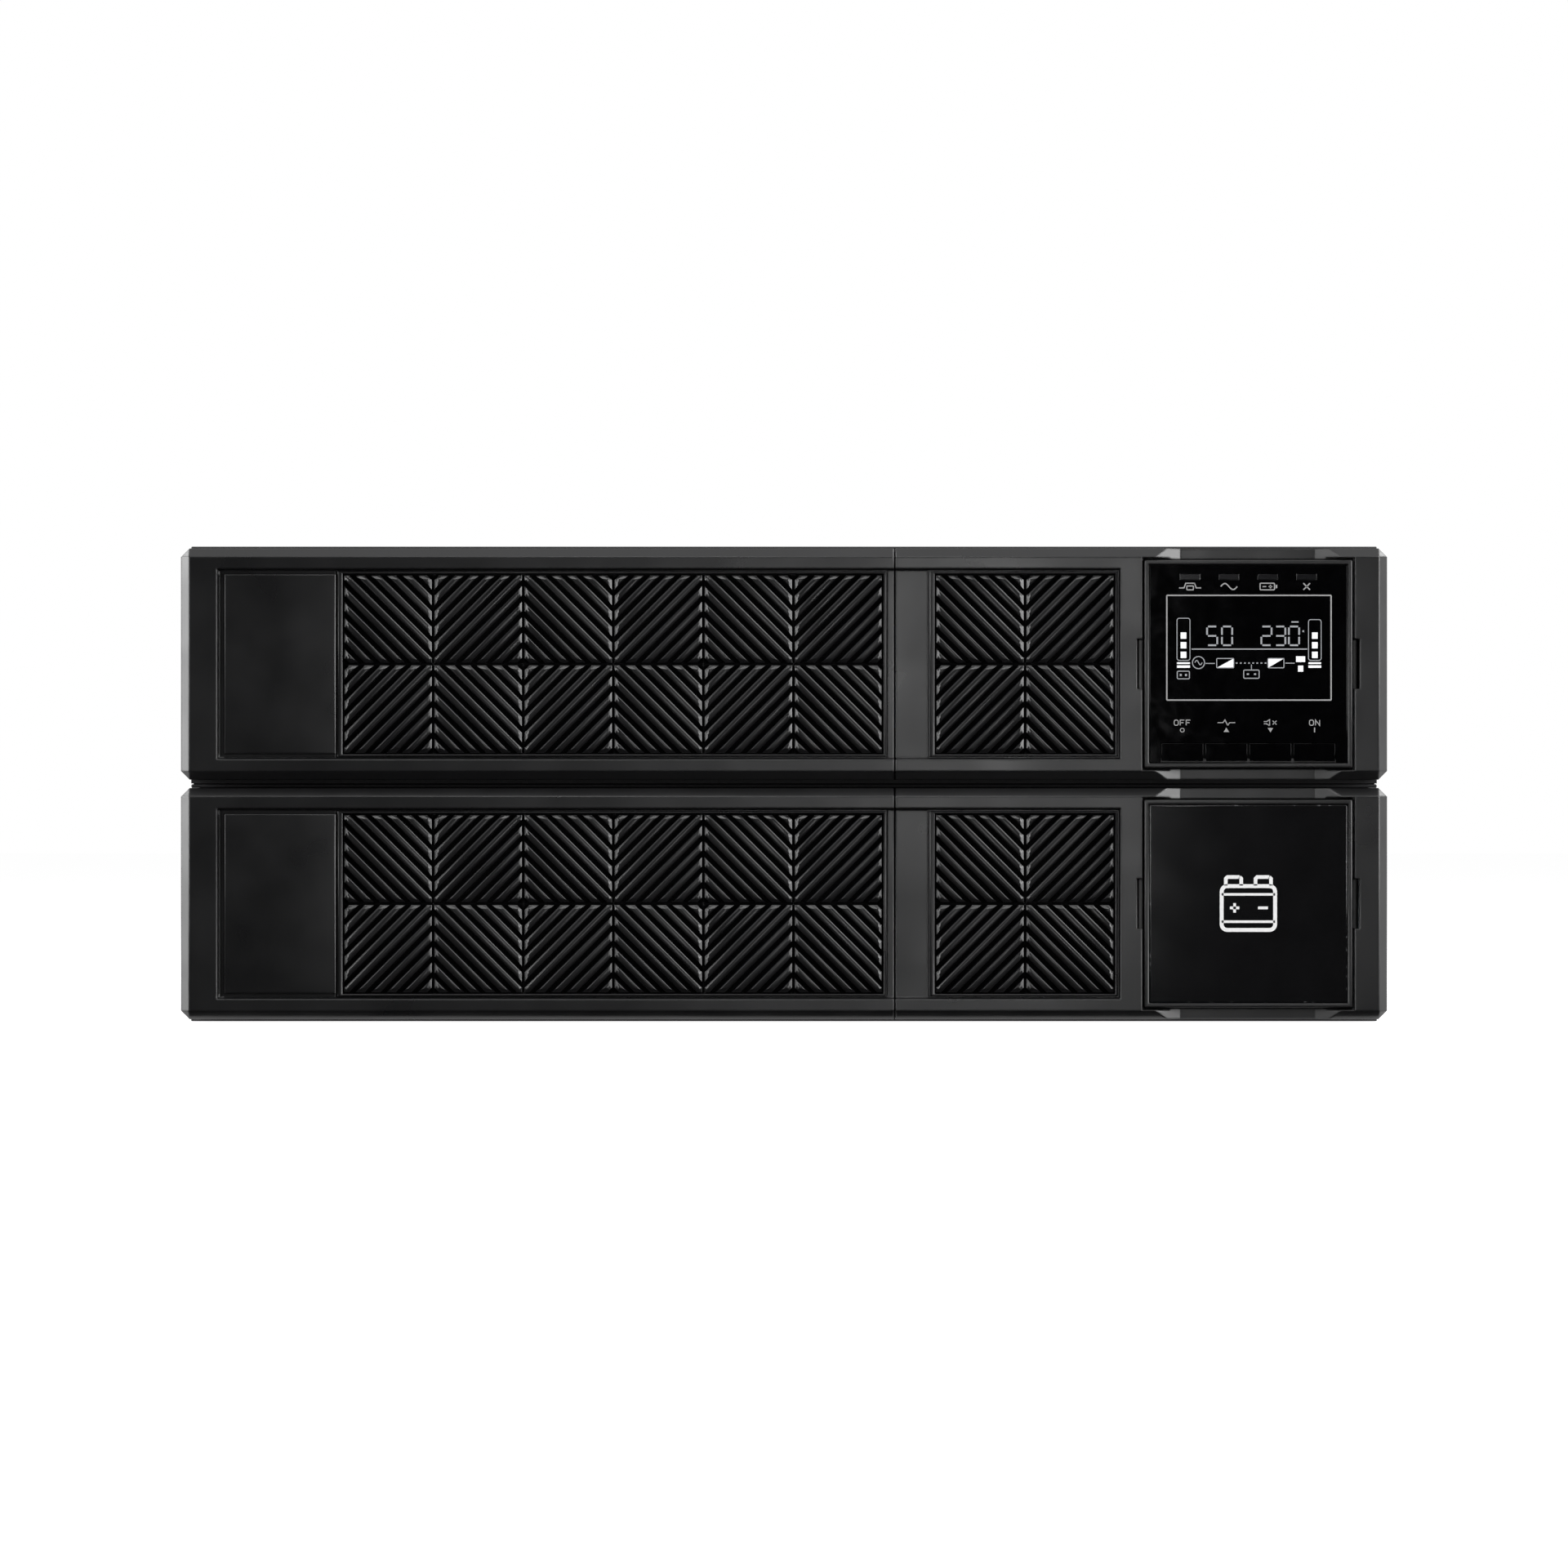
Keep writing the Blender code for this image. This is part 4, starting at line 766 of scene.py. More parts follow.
# The open lines of the signs, each about the middle of its key or light
for x, line, points in (
    (up_x, key_line, [(-3.2, -21.3), (-1.2, -21.3), (-0.5, -20.3), (0.5, -22.3)]),
    (up_x, key_line, [(0.5, -22.3), (1.2, -21.3), (3.2, -21.3)]),
    (down_x, key_line, [(-2.4, -21.7), (-1.4, -21.7), (-0.3, -22.4)]),
    (down_x, key_line, [(-0.3, -22.4), (-0.3, -20.2), (-1.4, -20.9), (-2.4, -20.9)]),
    (down_x, key_line, [(0.8, -22.0), (2.2, -20.6)]),
    (down_x, key_line, [(0.8, -20.6), (2.2, -22.0)]),
    (on_x, 0.4, [(0.0, -24.8), (0.0, -23.1)]),
    (by_x, light_line, [(-4.0, 27.6), (-2.2, 27.6), (-1.6, 29.3), (1.6, 29.3)]),
    (by_x, light_line, [(1.6, 29.3), (2.2, 27.6), (4.0, 27.6)]),
    (battery_x, 0.6, [(3.1, 27.5), (3.1, 28.7)]),
    (battery_x, light_line, [(-1.9, 28.1), (-0.6, 28.1)]),
    (battery_x, light_line, [(0.3, 28.1), (1.6, 28.1)]),
    (battery_x, light_line, [(0.95, 27.45), (0.95, 28.75)]),
    (fault_x, bold_line, [(-1.2, 26.9), (1.2, 29.3)]),
    (fault_x, bold_line, [(-1.2, 29.3), (1.2, 26.9)]),
):
    legend += stroke([(x + across, z) for across, z in points], line)

# Grey ink: matt mid grey, slightly uneven, 0.6 mm wide, where it went through the mesh.
ink_grey = mottled(
    "grey_screen_ink",
    ("888888", "a0a0a0"),
    width=0.6,
    detail=2.0,
    finish={"IOR": 1.48, "Roughness": 0.6},
)
ink("display_legend", legend, display_face, ink_grey, "display")

# Display segments
# The panel shows two bar gauges, two numbers and the power's path as signs.
# Its segments are lit white and seen through the window, so they stand at its face too.
SEGMENTS = {"0": "abcdef", "2": "abged", "3": "abgcd", "5": "afgcd"}


def digit(symbol, x, z, width=3.7, height=6.8, line=0.62):
    """The lit bars of a seven-segment digit whose lower left corner is given."""
    half = height / 2
    gap = line * 0.6
    bars = {
        "a": ((x + gap, z + height), (x + width - gap, z + height)),
        "g": ((x + gap, z + half), (x + width - gap, z + half)),
        "d": ((x + gap, z), (x + width - gap, z)),
        "f": ((x, z + half + gap), (x, z + height - gap)),
        "b": ((x + width, z + half + gap), (x + width, z + height - gap)),
        "e": ((x, z + gap), (x, z + half - gap)),
        "c": ((x + width, z + gap), (x + width, z + half - gap)),
    }
    return [quad for bar in SEGMENTS[symbol] for quad in stroke(bars[bar], line)]


lit = []
full = []
for gauge, top in (((-25.9, -21.2), 16.6), ((21.8, 26.4), 16.1)):
    lit += stroke(round_box(gauge, (1.3, top), 0.8), 0.28, True)
    middle = sum(gauge) / 2
    for height in (10.3, 6.8, 3.3):
        full += block((middle - 1.05, middle + 1.05), (height - 1.15, height + 1.15))
    full += block(gauge, (0.0, 0.6)) + block(gauge, (-1.4, -0.5))
lit += stroke(round_box((-25.8, -21.4), (-5.4, -2.6), 0.4), 0.32, True)
lit += block((-24.9, -24.2), (-4.4, -3.6)) + block((-23.0, -22.3), (-4.4, -3.6))
for symbol, x in (("5", -15.0), ("0", -9.6), ("2", 4.7), ("3", 9.7), ("0", 14.7)):
    lit += digit(symbol, x, 6.8)
lit += block((15.6, 18.2), (15.0, 15.5)) + block((19.6, 20.2), (11.6, 12.2))
lit += stroke([(-20.6, 5.4), (21.3, 5.4)], 0.4)
lit += stroke(oval(-18.1, 0.5, 2.2), 0.34, True) + stroke(wave_line(-18.1, 0.5, 2.6, 0.8), 0.32)
lit += stroke([(-15.6, 0.2), (-12.2, 0.2)], 0.3)
for box, corner in (((-11.5, -5.3), (-5.3, -1.4)), ((7.1, 12.9), (7.1, 2.0))):
    lit += stroke(round_box(box, (-1.4, 2.0), 0.3), 0.3, True)
    full.append([(box[0], -1.4), (box[1], 2.0), corner])
for step in range(8):
    lit += block((-4.6 + step * 1.5, -3.95 + step * 1.5), (0.1, 0.55))
lit += stroke([(13.4, 0.3), (16.8, 0.3)], 0.3)
full += block((17.3, 20.6), (0.7, 2.8)) + block((18.0, 19.9), (-2.8, -0.6))
lit += stroke(round_box((-1.7, 3.9), (-5.2, -2.2), 0.4), 0.34, True)
lit += block((-0.6, 0.2), (-4.0, -3.4)) + block((2.0, 2.8), (-4.0, -3.4))
lit += stroke([(1.1, -2.1), (1.1, -0.2)], 0.3)

# Lit segments: a soft white glow, a little dimmer far from the strip's lamps. The thin strokes are
# half lit, and the filled blocks fully.
glow = {"Roughness": 0.4, "Emission Strength": 0.3}
for name, marks, tones in (
    ("display_strokes", lit, ("808284", "94969a")),
    ("display_blocks", full, ("d4d6d8", "e8e8ea")),
):
    segments = mottled(name.replace("display", "backlit"), tones, width=30, detail=1.0, finish=glow)
    ink(name, marks, display_face, segments, "display")

# Badge
# The battery module's pocket holds a blind box of the same size, with a smooth ABS plate in its rim.
# A white battery sign is printed on the plate.
dress(satin_abs, 0.0004, "badge_case")

# Smooth ABS: black with a close gloss, so the plate mirrors the dark in front of it. Bright grey flecks,
# about 2 mm long, are painted at random along its rounded edges.
smooth_abs, tree = material("black_abs_moulded_smooth")
place = add(tree, "ShaderNodeTexCoord").outputs["Object"]
rub = add(tree, "ShaderNodeTexNoise", {"Scale": per_metre(14), "Detail": 4.0}, {"Vector": place})
flecks = add(tree, "ShaderNodeTexNoise", {"Scale": per_metre(2), "Detail": 3.0}, {"Vector": place})
edges = add(tree, "ShaderNodeBevel", {"Radius": 0.0006}, samples=6)
facing = add(tree, "ShaderNodeNewGeometry")
turned = add(
    tree,
    "ShaderNodeVectorMath",
    None,
    {0: edges.outputs["Normal"], 1: facing.outputs["True Normal"]},
    operation="DOT_PRODUCT",
)
# Bright grey flecks are painted where the edges round over, in spots that the fleck noise picks out
near_edge = add(
    tree,
    "ShaderNodeMapRange",
    {"From Min": 0.985, "From Max": 0.93},
    {"Value": turned.outputs["Value"]},
)
fleck = add(
    tree,
    "ShaderNodeMapRange",
    {"From Min": 0.6, "From Max": 0.68},
    {"Value": flecks.outputs["Fac"]},
)
edge_flecks = add(
    tree,
    "ShaderNodeMath",
    None,
    {0: near_edge.outputs["Result"], 1: fleck.outputs["Result"]},
    operation="MULTIPLY",
)
ground = add(
    tree,
    "ShaderNodeMix",
    {6: linear("0a0a0b"), 7: linear("0f0f10")},
    {0: rub.outputs["Fac"]},
    data_type="RGBA",
)
colour = add(
    tree,
    "ShaderNodeMix",
    {7: linear("8a8a8c")},
    {0: edge_flecks.outputs["Value"], 6: ground.outputs[2]},
    data_type="RGBA",
)
gloss = add(tree, "ShaderNodeMapRange", {"To Min": 0.06, "To Max": 0.10}, {"Value": rub.outputs["Fac"]})
shader = add(
    tree,
    "ShaderNodeBsdfPrincipled",
    {"IOR": 1.54},
    {
        "Base Color": colour.outputs[2],
        "Roughness": gloss.outputs["Result"],
        "Normal": edges.outputs["Normal"],
    },
)
add(tree, "ShaderNodeOutputMaterial", None, {"Surface": shader.outputs["BSDF"]})
dress(smooth_abs, 0.0002, "badge_plate")

plate_low, plate_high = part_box("badge_plate")
badge_face = (plate_low.x + plate_high.x) / 2, plate_low.y, (plate_low.z + plate_high.z) / 2
sign = stroke(round_box((-9.7, 9.7), (-9.5, 6.4), 2.0), 1.4, True)
sign += stroke([(-9.7, 3.4), (9.7, 3.4)], 0.9) + stroke([(-9.7, -6.5), (9.7, -6.5)], 0.9)
for cap in (-5.4, 5.4):
    sign += stroke([(cap - 2.8, 6.6), (cap - 2.8, 9.1), (cap - 2.2, 9.7), (cap + 2.2, 9.7)], 1.3)
    sign += stroke([(cap + 2.2, 9.7), (cap + 2.8, 9.1), (cap + 2.8, 6.6)], 1.3)
sign += stroke([(-6.7, -1.5), (-3.3, -1.5)], 1.0) + stroke([(-5.0, -3.2), (-5.0, 0.2)], 1.0)
sign += stroke([(3.5, -1.5), (7.1, -1.5)], 1.0)

# White ink: a thick matt layer, laid twice so that it covers, with a faint mottle 0.8 mm wide.
ink_white = mottled(
    "white_screen_ink",
    ("d8d8d8", "ececec"),
    width=0.8,
    detail=2.0,
    finish={"IOR": 1.48, "Roughness": 0.6},
)
ink("battery_sign", sign, badge_face, ink_white, "badge")


# Rear fittings
# The DC sockets, breakers, fans and terminals are bought-in mouldings in matt black plastic behind the
# panels. The breakers' toggles are satin ABS, with a bar and a ring for on and off above and below.

# Matt ABS: flat and even, with a grain of 0.15 mm that is drawn 0.6 mm, and duller where it was rubbed.
matt_abs, tree = material("black_abs_moulded_matt")
place = add(tree, "ShaderNodeTexCoord").outputs["Object"]
grain = add(tree, "ShaderNodeTexNoise", {"Scale": per_metre(0.6), "Detail": 2.0}, {"Vector": place})
rub = add(tree, "ShaderNodeTexNoise", {"Scale": per_metre(14), "Detail": 4.0}, {"Vector": place})
colour = add(
    tree,
    "ShaderNodeMix",
    {6: linear("0d0d0e"), 7: linear("141415")},
    {0: rub.outputs["Fac"]},
    data_type="RGBA",
)
gloss = add(tree, "ShaderNodeMapRange", {"To Min": 0.42, "To Max": 0.58}, {"Value": rub.outputs["Fac"]})
skin = add(tree, "ShaderNodeBump", {"Strength": 0.3, "Distance": 0.00003}, {"Height": grain.outputs["Fac"]})
shader = add(
    tree,
    "ShaderNodeBsdfPrincipled",
    {"IOR": 1.54},
    {
        "Base Color": colour.outputs[2],
        "Roughness": gloss.outputs["Result"],
        "Normal": skin.outputs["Normal"],
    },
)
add(tree, "ShaderNodeOutputMaterial", None, {"Surface": shader.outputs["BSDF"]})
dress(
    matt_abs,
    0.0003,
    "left_fan_frame",
    "left_fan_rotor",
    "right_fan_frame",
    "right_fan_rotor",
    "input_breaker",
    "battery_breaker",
    "terminal_block",
    "power_dc_socket",
    "battery_dc_socket",
)
dress(satin_abs, 0.0005, "input_breaker_lever", "battery_breaker_lever")
for name in ("input_breaker", "battery_breaker"):
    low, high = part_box(name)
    centre = (low.x + high.x) / 2, high.y, (low.z + high.z) / 2
    marks = stroke([(0, 13.5), (0, 17.5)], 1.0) + stroke(oval(0, -15.5, 2.0), 0.8, True)
    marks += stroke(round_box((-16.0, 16.0), (-22.0, 22.0), 2.0), 0.5, True)
    ink(name + "_marks", marks, centre, ink_white, "base", 1)

# Socket contacts
# Two flat brass pins stand in each DC socket, silver-plated and blunt at the tip.
# They are pressed into the floor of the moulding, which keeps them apart.

# Plated brass: a soft warm-white metal with faint marks of drawing 0.4 mm apart.
plated_brass = mottled(
    "silver_plated_brass",
    ("b9b3a4", "d6d1c4"),
    width=0.4,
    detail=2.0,
    finish={"Metallic": 1.0, "Roughness": 0.28},
    stretch=(1.0, 0.05, 1.0),
)
socket_floor = 0.003
pin_side, pin_half_thickness, pin_half_width = 0.006, 0.0012, 0.005
# The height of each ring of a pin over the socket's floor, and how far it is drawn in
PIN_RINGS = (-0.001, 0.0), (0.012, 0.0), (0.0135, 0.0007)
for name in ("power_dc_socket", "battery_dc_socket"):
    low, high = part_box(name)
    x, z = (low.x + high.x) / 2, (low.z + high.z) / 2
    floor_y = low.y + socket_floor
    shape = bmesh.new()
    for pin_x in (x - pin_side, x + pin_side):
        thick = pin_x - pin_half_thickness, pin_x + pin_half_thickness
        wide = z - pin_half_width, z + pin_half_width
        loft(shape, [rectangle(thick, floor_y + height, wide, inset) for height, inset in PIN_RINGS])
    piece(name + "_pins", shape, plated_brass, "base")


# Screws
# Pan heads with a cross recess hold the fans, the lids, the rear panels and their plates.
# They are zinc-plated and blackened.
def circle(centre, radius, y, steps=24):
    turns = [2 * math.pi * step / steps for step in range(steps)]
    return [(centre[0] + radius * math.cos(t), y, centre[1] + radius * math.sin(t)) for t in turns]


# Black zinc: a thin dark film on bright metal, a little rubbed, in patches some 2 mm wide.
black_zinc = mottled(
    "steel_with_black_zinc_plate",
    ("262628", "47474a"),
    width=2,
    detail=3.0,
    finish={"Metallic": 1.0},
    gloss=(0.5, 0.28),
)

# The radius of each ring of a head, and its height over the sheet
HEAD_RINGS = (0.0028, -0.0003), (0.0028, 0.0004), (0.0026, 0.0010), (0.0021, 0.0014), (0.0016, 0.00155)
# The recess in millimetres from the middle, every 15 degrees of a quarter
CROSS = (1.25, 1.3, 0.62, 0.5, 0.62, 1.3)
CROSS_FLOOR, CROSS_TAPER = 0.0006, 0.7


def screw_head():
    shape = bmesh.new()
    cross = []
    for step in range(24):
        radius, turn = CROSS[step % 6] / 1000, 2 * math.pi * step / 24
        cross.append((radius * math.cos(turn), radius * math.sin(turn)))
    loops = [circle((0, 0), radius, height) for radius, height in HEAD_RINGS]
    loops.append([(x, HEAD_RINGS[-1][1], z) for x, z in cross])
    loops.append([(x * CROSS_TAPER, CROSS_FLOOR, z * CROSS_TAPER) for x, z in cross])
    loft(shape, loops)
    return finished_mesh("screw_head", shape, black_zinc, crease=40)


SCREW_HEAD = screw_head()


def screws(name, places, turn=0.0):
    """A screw head at each place, facing the rear, or turned about the upright axis."""
    for number, where in enumerate(places, 1):
        head = bpy.data.objects.new(f"{name}_{number}", SCREW_HEAD)
        head.location = where
        head.rotation_euler = (0, 0.4 * number, turn)
        bpy.context.scene.collection.objects.link(head)
        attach(head, "base")


def around(low, high, y, inset):
    """The four places near the corners of a box."""
    return [(x, y, z) for x in (low.x + inset, high.x - inset) for z in (low.z + inset, high.z - inset)]


# How far the screws stand from the edges of what they hold, and where along the sides for a lid
fan_inset, cover_inset, card_inset, panel_inset, lid_inset = 0.0042, 0.005, 0.0042, 0.0045, 0.0055
lid_screw_places = -0.13, 0.06, 0.25
for name in ("left_fan", "right_fan"):
    low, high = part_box(name + "_frame")
    screws(name + "_screw", around(low, high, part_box("power_rear_panel")[1].y, fan_inset))
low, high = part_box("terminal_cover")
screws("terminal_cover_screw", around(low, high, high.y, cover_inset))
low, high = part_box("comms_card")
card_x = (low.x + high.x) / 2
screws("card_screw", [(card_x, high.y, low.z + card_inset), (card_x, high.y, high.z - card_inset)])
for name in ("power", "battery"):
    low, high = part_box(name + "_rear_panel")
    screws(name + "_panel_screw", around(low, high, high.y, panel_inset))
    low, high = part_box(name + "_chassis")
    for side, x, turn in (("left", low.x, math.pi / 2), ("right", high.x, -math.pi / 2)):
        places = [(x, y, high.z - lid_inset) for y in lid_screw_places]
        screws(f"{name}_{side}_lid_screw", places, turn)

# Card ports
# The communication card carries a nine-pin serial port, a USB port and a plug-in terminal.
# The shells are nickel-plated steel, and the terminal is green plastic.

# Nickel plate: a bright neutral metal, faintly clouded over some 5 mm.
nickel = mottled(
    "nickel_plated_steel",
    ("b4b2ac", "c9c7c2"),
    width=5,
    detail=3.0,
    finish={"Metallic": 1.0},
    gloss=(0.16, 0.34),
)
low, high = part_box("comms_card")
card_y, card_z = high.y, (low.z + high.z) / 2


def upright(outline, centre_z, y, inset=0.0):
    """An outline in millimetres on the card's plate, as points at a depth, drawn in towards its middle."""
    points = []
    for px, pz in outline:
        points.append(
            (
                card_x + (px - math.copysign(min(inset, abs(px)), px)) / 1000,
                y,
                centre_z + (pz - math.copysign(min(inset, abs(pz)), pz)) / 1000,
            )
        )
    return points


def shell(shape, outline, centre_z, wall, reach):
    """A thin-walled port shell that stands off the plate, with a rounded lip."""
    root, lip = card_y - 0.002, card_y + reach
    edge = lip - 0.0002
    rings = (root, 0.0), (edge, 0.0), (lip, 0.2), (lip, wall - 0.1), (edge, wall), (root, wall)
    loft(shape, [upright(outline, centre_z, y, inset) for y, inset in rings], ring=True)


def slab(shape, outline, centre_z, *rings):
    """A solid on the plate, from the height of each of its rings and how far each is drawn in."""
    loft(shape, [upright(outline, centre_z, card_y + out, inset) for out, inset in rings])


serial_z = card_z + 0.0165
serial_half = [(5.6, -4.1), (6.4, -3.6), (7.6, 3.0), (8.4, 4.1)]
serial = [(-x, z) for x, z in reversed(serial_half)] + serial_half
usb_z = card_z - 0.0005
usb = [(-6.0, -5.4), (6.0, -5.4), (6.0, 2.6), (3.8, 5.4), (-3.8, 5.4), (-6.0, 2.6)]
shape = bmesh.new()
shell(shape, serial, serial_z, 0.5, 0.0055)
shell(shape, usb, usb_z, 0.45, 0.0016)
flange = round_box((-15.4, 15.4), (-6.2, 6.2), 1.5)
slab(shape, flange, serial_z, (-0.0002, 0.0), (0.0006, 0.0), (0.0008, 0.2))
nut_side = 0.0125
# The radius of each ring of a hexagon nut, and its height over the plate
NUT_RINGS = (0.0025, 0.0006), (0.0025, 0.0045), (0.0020, 0.0050), (0.0012, 0.0050), (0.0012, 0.0020)
for nut_x in (card_x - nut_side, card_x + nut_side):
    loft(shape, [circle((nut_x, serial_z), radius, card_y + out, 6) for radius, out in NUT_RINGS])
piece("card_port_shells", shape, nickel, "base")

tongue = round_box((-2.9, 2.9), (-2.0, 1.6), 0.4)
shape = bmesh.new()
slab(shape, serial, serial_z, (0.0006, 0.5), (0.0040, 0.5), (0.0042, 0.8))
slab(shape, tongue, usb_z, (-0.0010, 0.0), (0.0009, 0.0), (0.0012, 0.3))
slab(shape, usb, usb_z, (0.0001, 0.4), (0.0003, 0.5))
piece("card_port_inserts", shape, matt_abs, "base")

contact_pitch = 0.0027
# The radius of each ring of a contact, and its height over the plate
CONTACT_RINGS = (0.0005, 0.0038), (0.0005, 0.0050), (0.0002, 0.0053)
shape = bmesh.new()
for count, height in ((5, 1.4), (4, -1.4)):
    for step in range(count):
        pin = (card_x + (step - (count - 1) / 2) * contact_pitch, serial_z + height / 1000)
        loft(shape, [circle(pin, radius, card_y + out, 10) for radius, out in CONTACT_RINGS])
piece("card_port_pins", shape, plated_brass, "base")

# Terminal plastic: bright green nylon, softly glossy and slightly mottled over some 3 mm.
green_nylon = mottled(
    "green_nylon_moulded",
    ("1f6b3a", "2a7d47"),
    width=3,
    detail=3.0,
    finish={"IOR": 1.53, "Roughness": 0.42},
)
plug_z = card_z - 0.0165
way_pitch, way_half = 0.0051, 0.0025
ways = [card_x + (step - 1.5) * way_pitch for step in range(4)]
shape = bmesh.new()
for middle in ways:
    x, z = (middle - way_half, middle + way_half), (plug_z - 0.0045, plug_z + 0.0045)
    mouth = plug_z - 0.0036, plug_z + 0.0006
    loft(
        shape,
        [
            rectangle(x, card_y - 0.0005, z),
            rectangle(x, card_y + 0.0066, z),
            rectangle(x, card_y + 0.0070, z, 0.0004),
            rectangle(x, card_y + 0.0070, mouth, 0.0007),
            rectangle(x, card_y + 0.0030, mouth, 0.0008),
        ],
    )
piece("card_terminal", shape, green_nylon, "base")
shape = bmesh.new()
for middle in ways:
    head = (middle, plug_z + 0.0025)
    loft(shape, [circle(head, 0.0014, card_y + 0.0066, 16), circle(head, 0.0013, card_y + 0.0072, 16)])
piece("card_terminal_screws", shape, nickel, "base")

# Cable grommets
# A black silicone ring snaps into each cable hole of the terminal cover.
# It shields the lead from the cut edge of the steel.
low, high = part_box("terminal_cover")
cover_x, cover_z = (low.x + high.x) / 2, (low.z + high.z) / 2
shape = bmesh.new()
for side in (-0.017, 0.017):
    hole = (cover_x + side, cover_z)
    profile = (
        (0.0107, low.y + 0.0002),
        (0.0107, high.y),
        (0.0125, high.y),
        (0.0127, high.y + 0.0010),
        (0.0117, high.y + 0.0018),
        (0.0100, high.y + 0.0014),
        (0.0095, high.y),
        (0.0097, low.y + 0.0002),
    )
    loft(shape, [circle(hole, radius, y, 40) for radius, y in profile], ring=True)
piece("cable_grommets", shape, rubber, "base")

# Ground studs
# A threaded stud stands on each rear panel beside the last fitting, for the rack's ground lead.
# A washer and a hexagon nut are run down on it, all nickel-plated.
stud_beside, stud_height = 0.0042, 0.026
# The sides of the washer, the nut and the stud, and the radius and height of each of their rings
STUD_PARTS = (
    (32, ((0.0044, -0.0001), (0.0044, 0.0007), (0.0042, 0.0009))),
    (6, ((0.0036, 0.0008), (0.0040, 0.0011), (0.0040, 0.0036), (0.0036, 0.0040))),
    (24, ((0.0020, 0.0030), (0.0020, 0.0078), (0.0016, 0.0084))),
)
for name in ("power", "battery"):
    low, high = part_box(name + "_rear_panel")
    stud = (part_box("terminal_cover")[1].x + stud_beside, low.z + stud_height)
    shape = bmesh.new()
    for steps, profile in STUD_PARTS:
        loft(shape, [circle(stud, radius, high.y + out, steps) for radius, out in profile])
    piece(name + "_ground_stud", shape, nickel, "base")

# Fan hubs
# A bare round label of silvered paper closes the bearing in the middle of each rotor.
# It is stuck on and turns with the blades.

# Label: silvered paper with a brushed look, 0.5 mm lines, dulled by its lacquer.
label_silver = mottled(
    "silvered_paper_label",
    ("85878a", "9fa1a3"),
    width=0.5,
    detail=2.0,
    finish={"Metallic": 0.7, "Roughness": 0.45},
    stretch=(0.05, 1.0, 1.0),
)
for name in ("left_fan", "right_fan"):
    low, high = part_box(name + "_rotor")
    hub = ((low.x + high.x) / 2, (low.z + high.z) / 2)
    profile = (0.0130, -0.00005), (0.0130, 0.0001), (0.0128, 0.00015)
    shape = bmesh.new()
    loft(shape, [circle(hub, radius, high.y + out, 40) for radius, out in profile])
    piece(name + "_label", shape, label_silver, name)

# Drawers and batteries
# Two zinc-plated steel drawers run on the floor of the battery module. They hold sealed lead-acid
# batteries in grey ABS boxes, laid on their sides. Each has a glued lid, a cover over its valves, and a
# red and a black seat with a plated brass tab.

# Zinc plate: bright cool grey metal with faint rolling streaks 3 mm apart along the sheet.
zinc = mottled(
    "zinc_plated_sheet_steel",
    ("a9adb1", "c3c6c9"),
    width=3,
    detail=4.0,
    finish={"Metallic": 1.0},
    gloss=(0.28, 0.42),
    stretch=(1.0, 0.03, 1.0),
)
dress(zinc, 0.0004, "left_drawer", "right_drawer")

# Battery ABS: mid grey, a touch paler in patches some 25 mm wide where it was rubbed. Its fine grain is
# drawn 0.7 mm wide to show.
battery_abs, tree = material("grey_abs_moulded")
place = add(tree, "ShaderNodeTexCoord").outputs["Object"]
rub = add(tree, "ShaderNodeTexNoise", {"Scale": per_metre(25), "Detail": 4.0}, {"Vector": place})
grain = add(tree, "ShaderNodeTexNoise", {"Scale": per_metre(0.7), "Detail": 2.0}, {"Vector": place})
colour = add(
    tree,
    "ShaderNodeMix",
    {6: linear("4e5154"), 7: linear("5d6063")},
    {0: rub.outputs["Fac"]},
    data_type="RGBA",
)
skin = add(tree, "ShaderNodeBump", {"Strength": 0.3, "Distance": 0.00004}, {"Height": grain.outputs["Fac"]})
shader = add(
    tree,
    "ShaderNodeBsdfPrincipled",
    {"IOR": 1.54, "Roughness": 0.5},
    {"Base Color": colour.outputs[2], "Normal": skin.outputs["Normal"]},
)
add(tree, "ShaderNodeOutputMaterial", None, {"Surface": shader.outputs["BSDF"]})

# Red ABS: the seats of the plus tabs, a deep red with a soft gloss, mottled over some 3 mm.
red_abs = mottled(
    "red_abs_moulded",
    ("8c1f1c", "a32a25"),
    width=3,
    detail=3.0,
    finish={"IOR": 1.54, "Roughness": 0.42},
)

BATTERY_REACH = 0.100
CASE_SPANS = (-0.0755, 0.0755), (-0.0325, 0.0325)
CASE_CORNER = 0.0030
LID_FACE = 0.0930
# The height of each ring of a battery's case over its foot, and how far it is drawn in, from the foot
# past the seam and the lid to the rim
CASE_RINGS = (
    (0.0, 0.0016),
    (0.0004, 0.0007),
    (0.0016, 0.0002),
    (0.0700, 0.0002),
    (0.0704, 0.0010),
    (0.0716, 0.0010),
    (0.0720, 0.0),
    (0.0924, 0.0),
    (0.0936, 0.0005),
    (0.0940, 0.0016),
    (0.0940, 0.0040),
    (LID_FACE, 0.0046),
)
VALVE_SPANS = (-0.044, 0.044), (-0.018, 0.018)
VALVE_RINGS = (LID_FACE - 0.0005, 0.0), (LID_FACE + 0.0006, 0.0), (LID_FACE + 0.0010, 0.0004)
TAB_PLACE = 0.0635
SEAT_HALF, SEAT_SPAN, SEAT_CORNER = 0.006, (-0.007, 0.007), 0.0015
SEAT_RINGS = (LID_FACE - 0.0003, 0.0), (LID_FACE + 0.0014, 0.0), (LID_FACE + 0.0018, 0.0004)
# The height of each ring of a tab over the foot, half its thickness and half its width
TAB_RINGS = (0.0940, 0.0004, 0.0032), (0.0985, 0.0004, 0.0032), (0.0998, 0.0002, 0.0022)
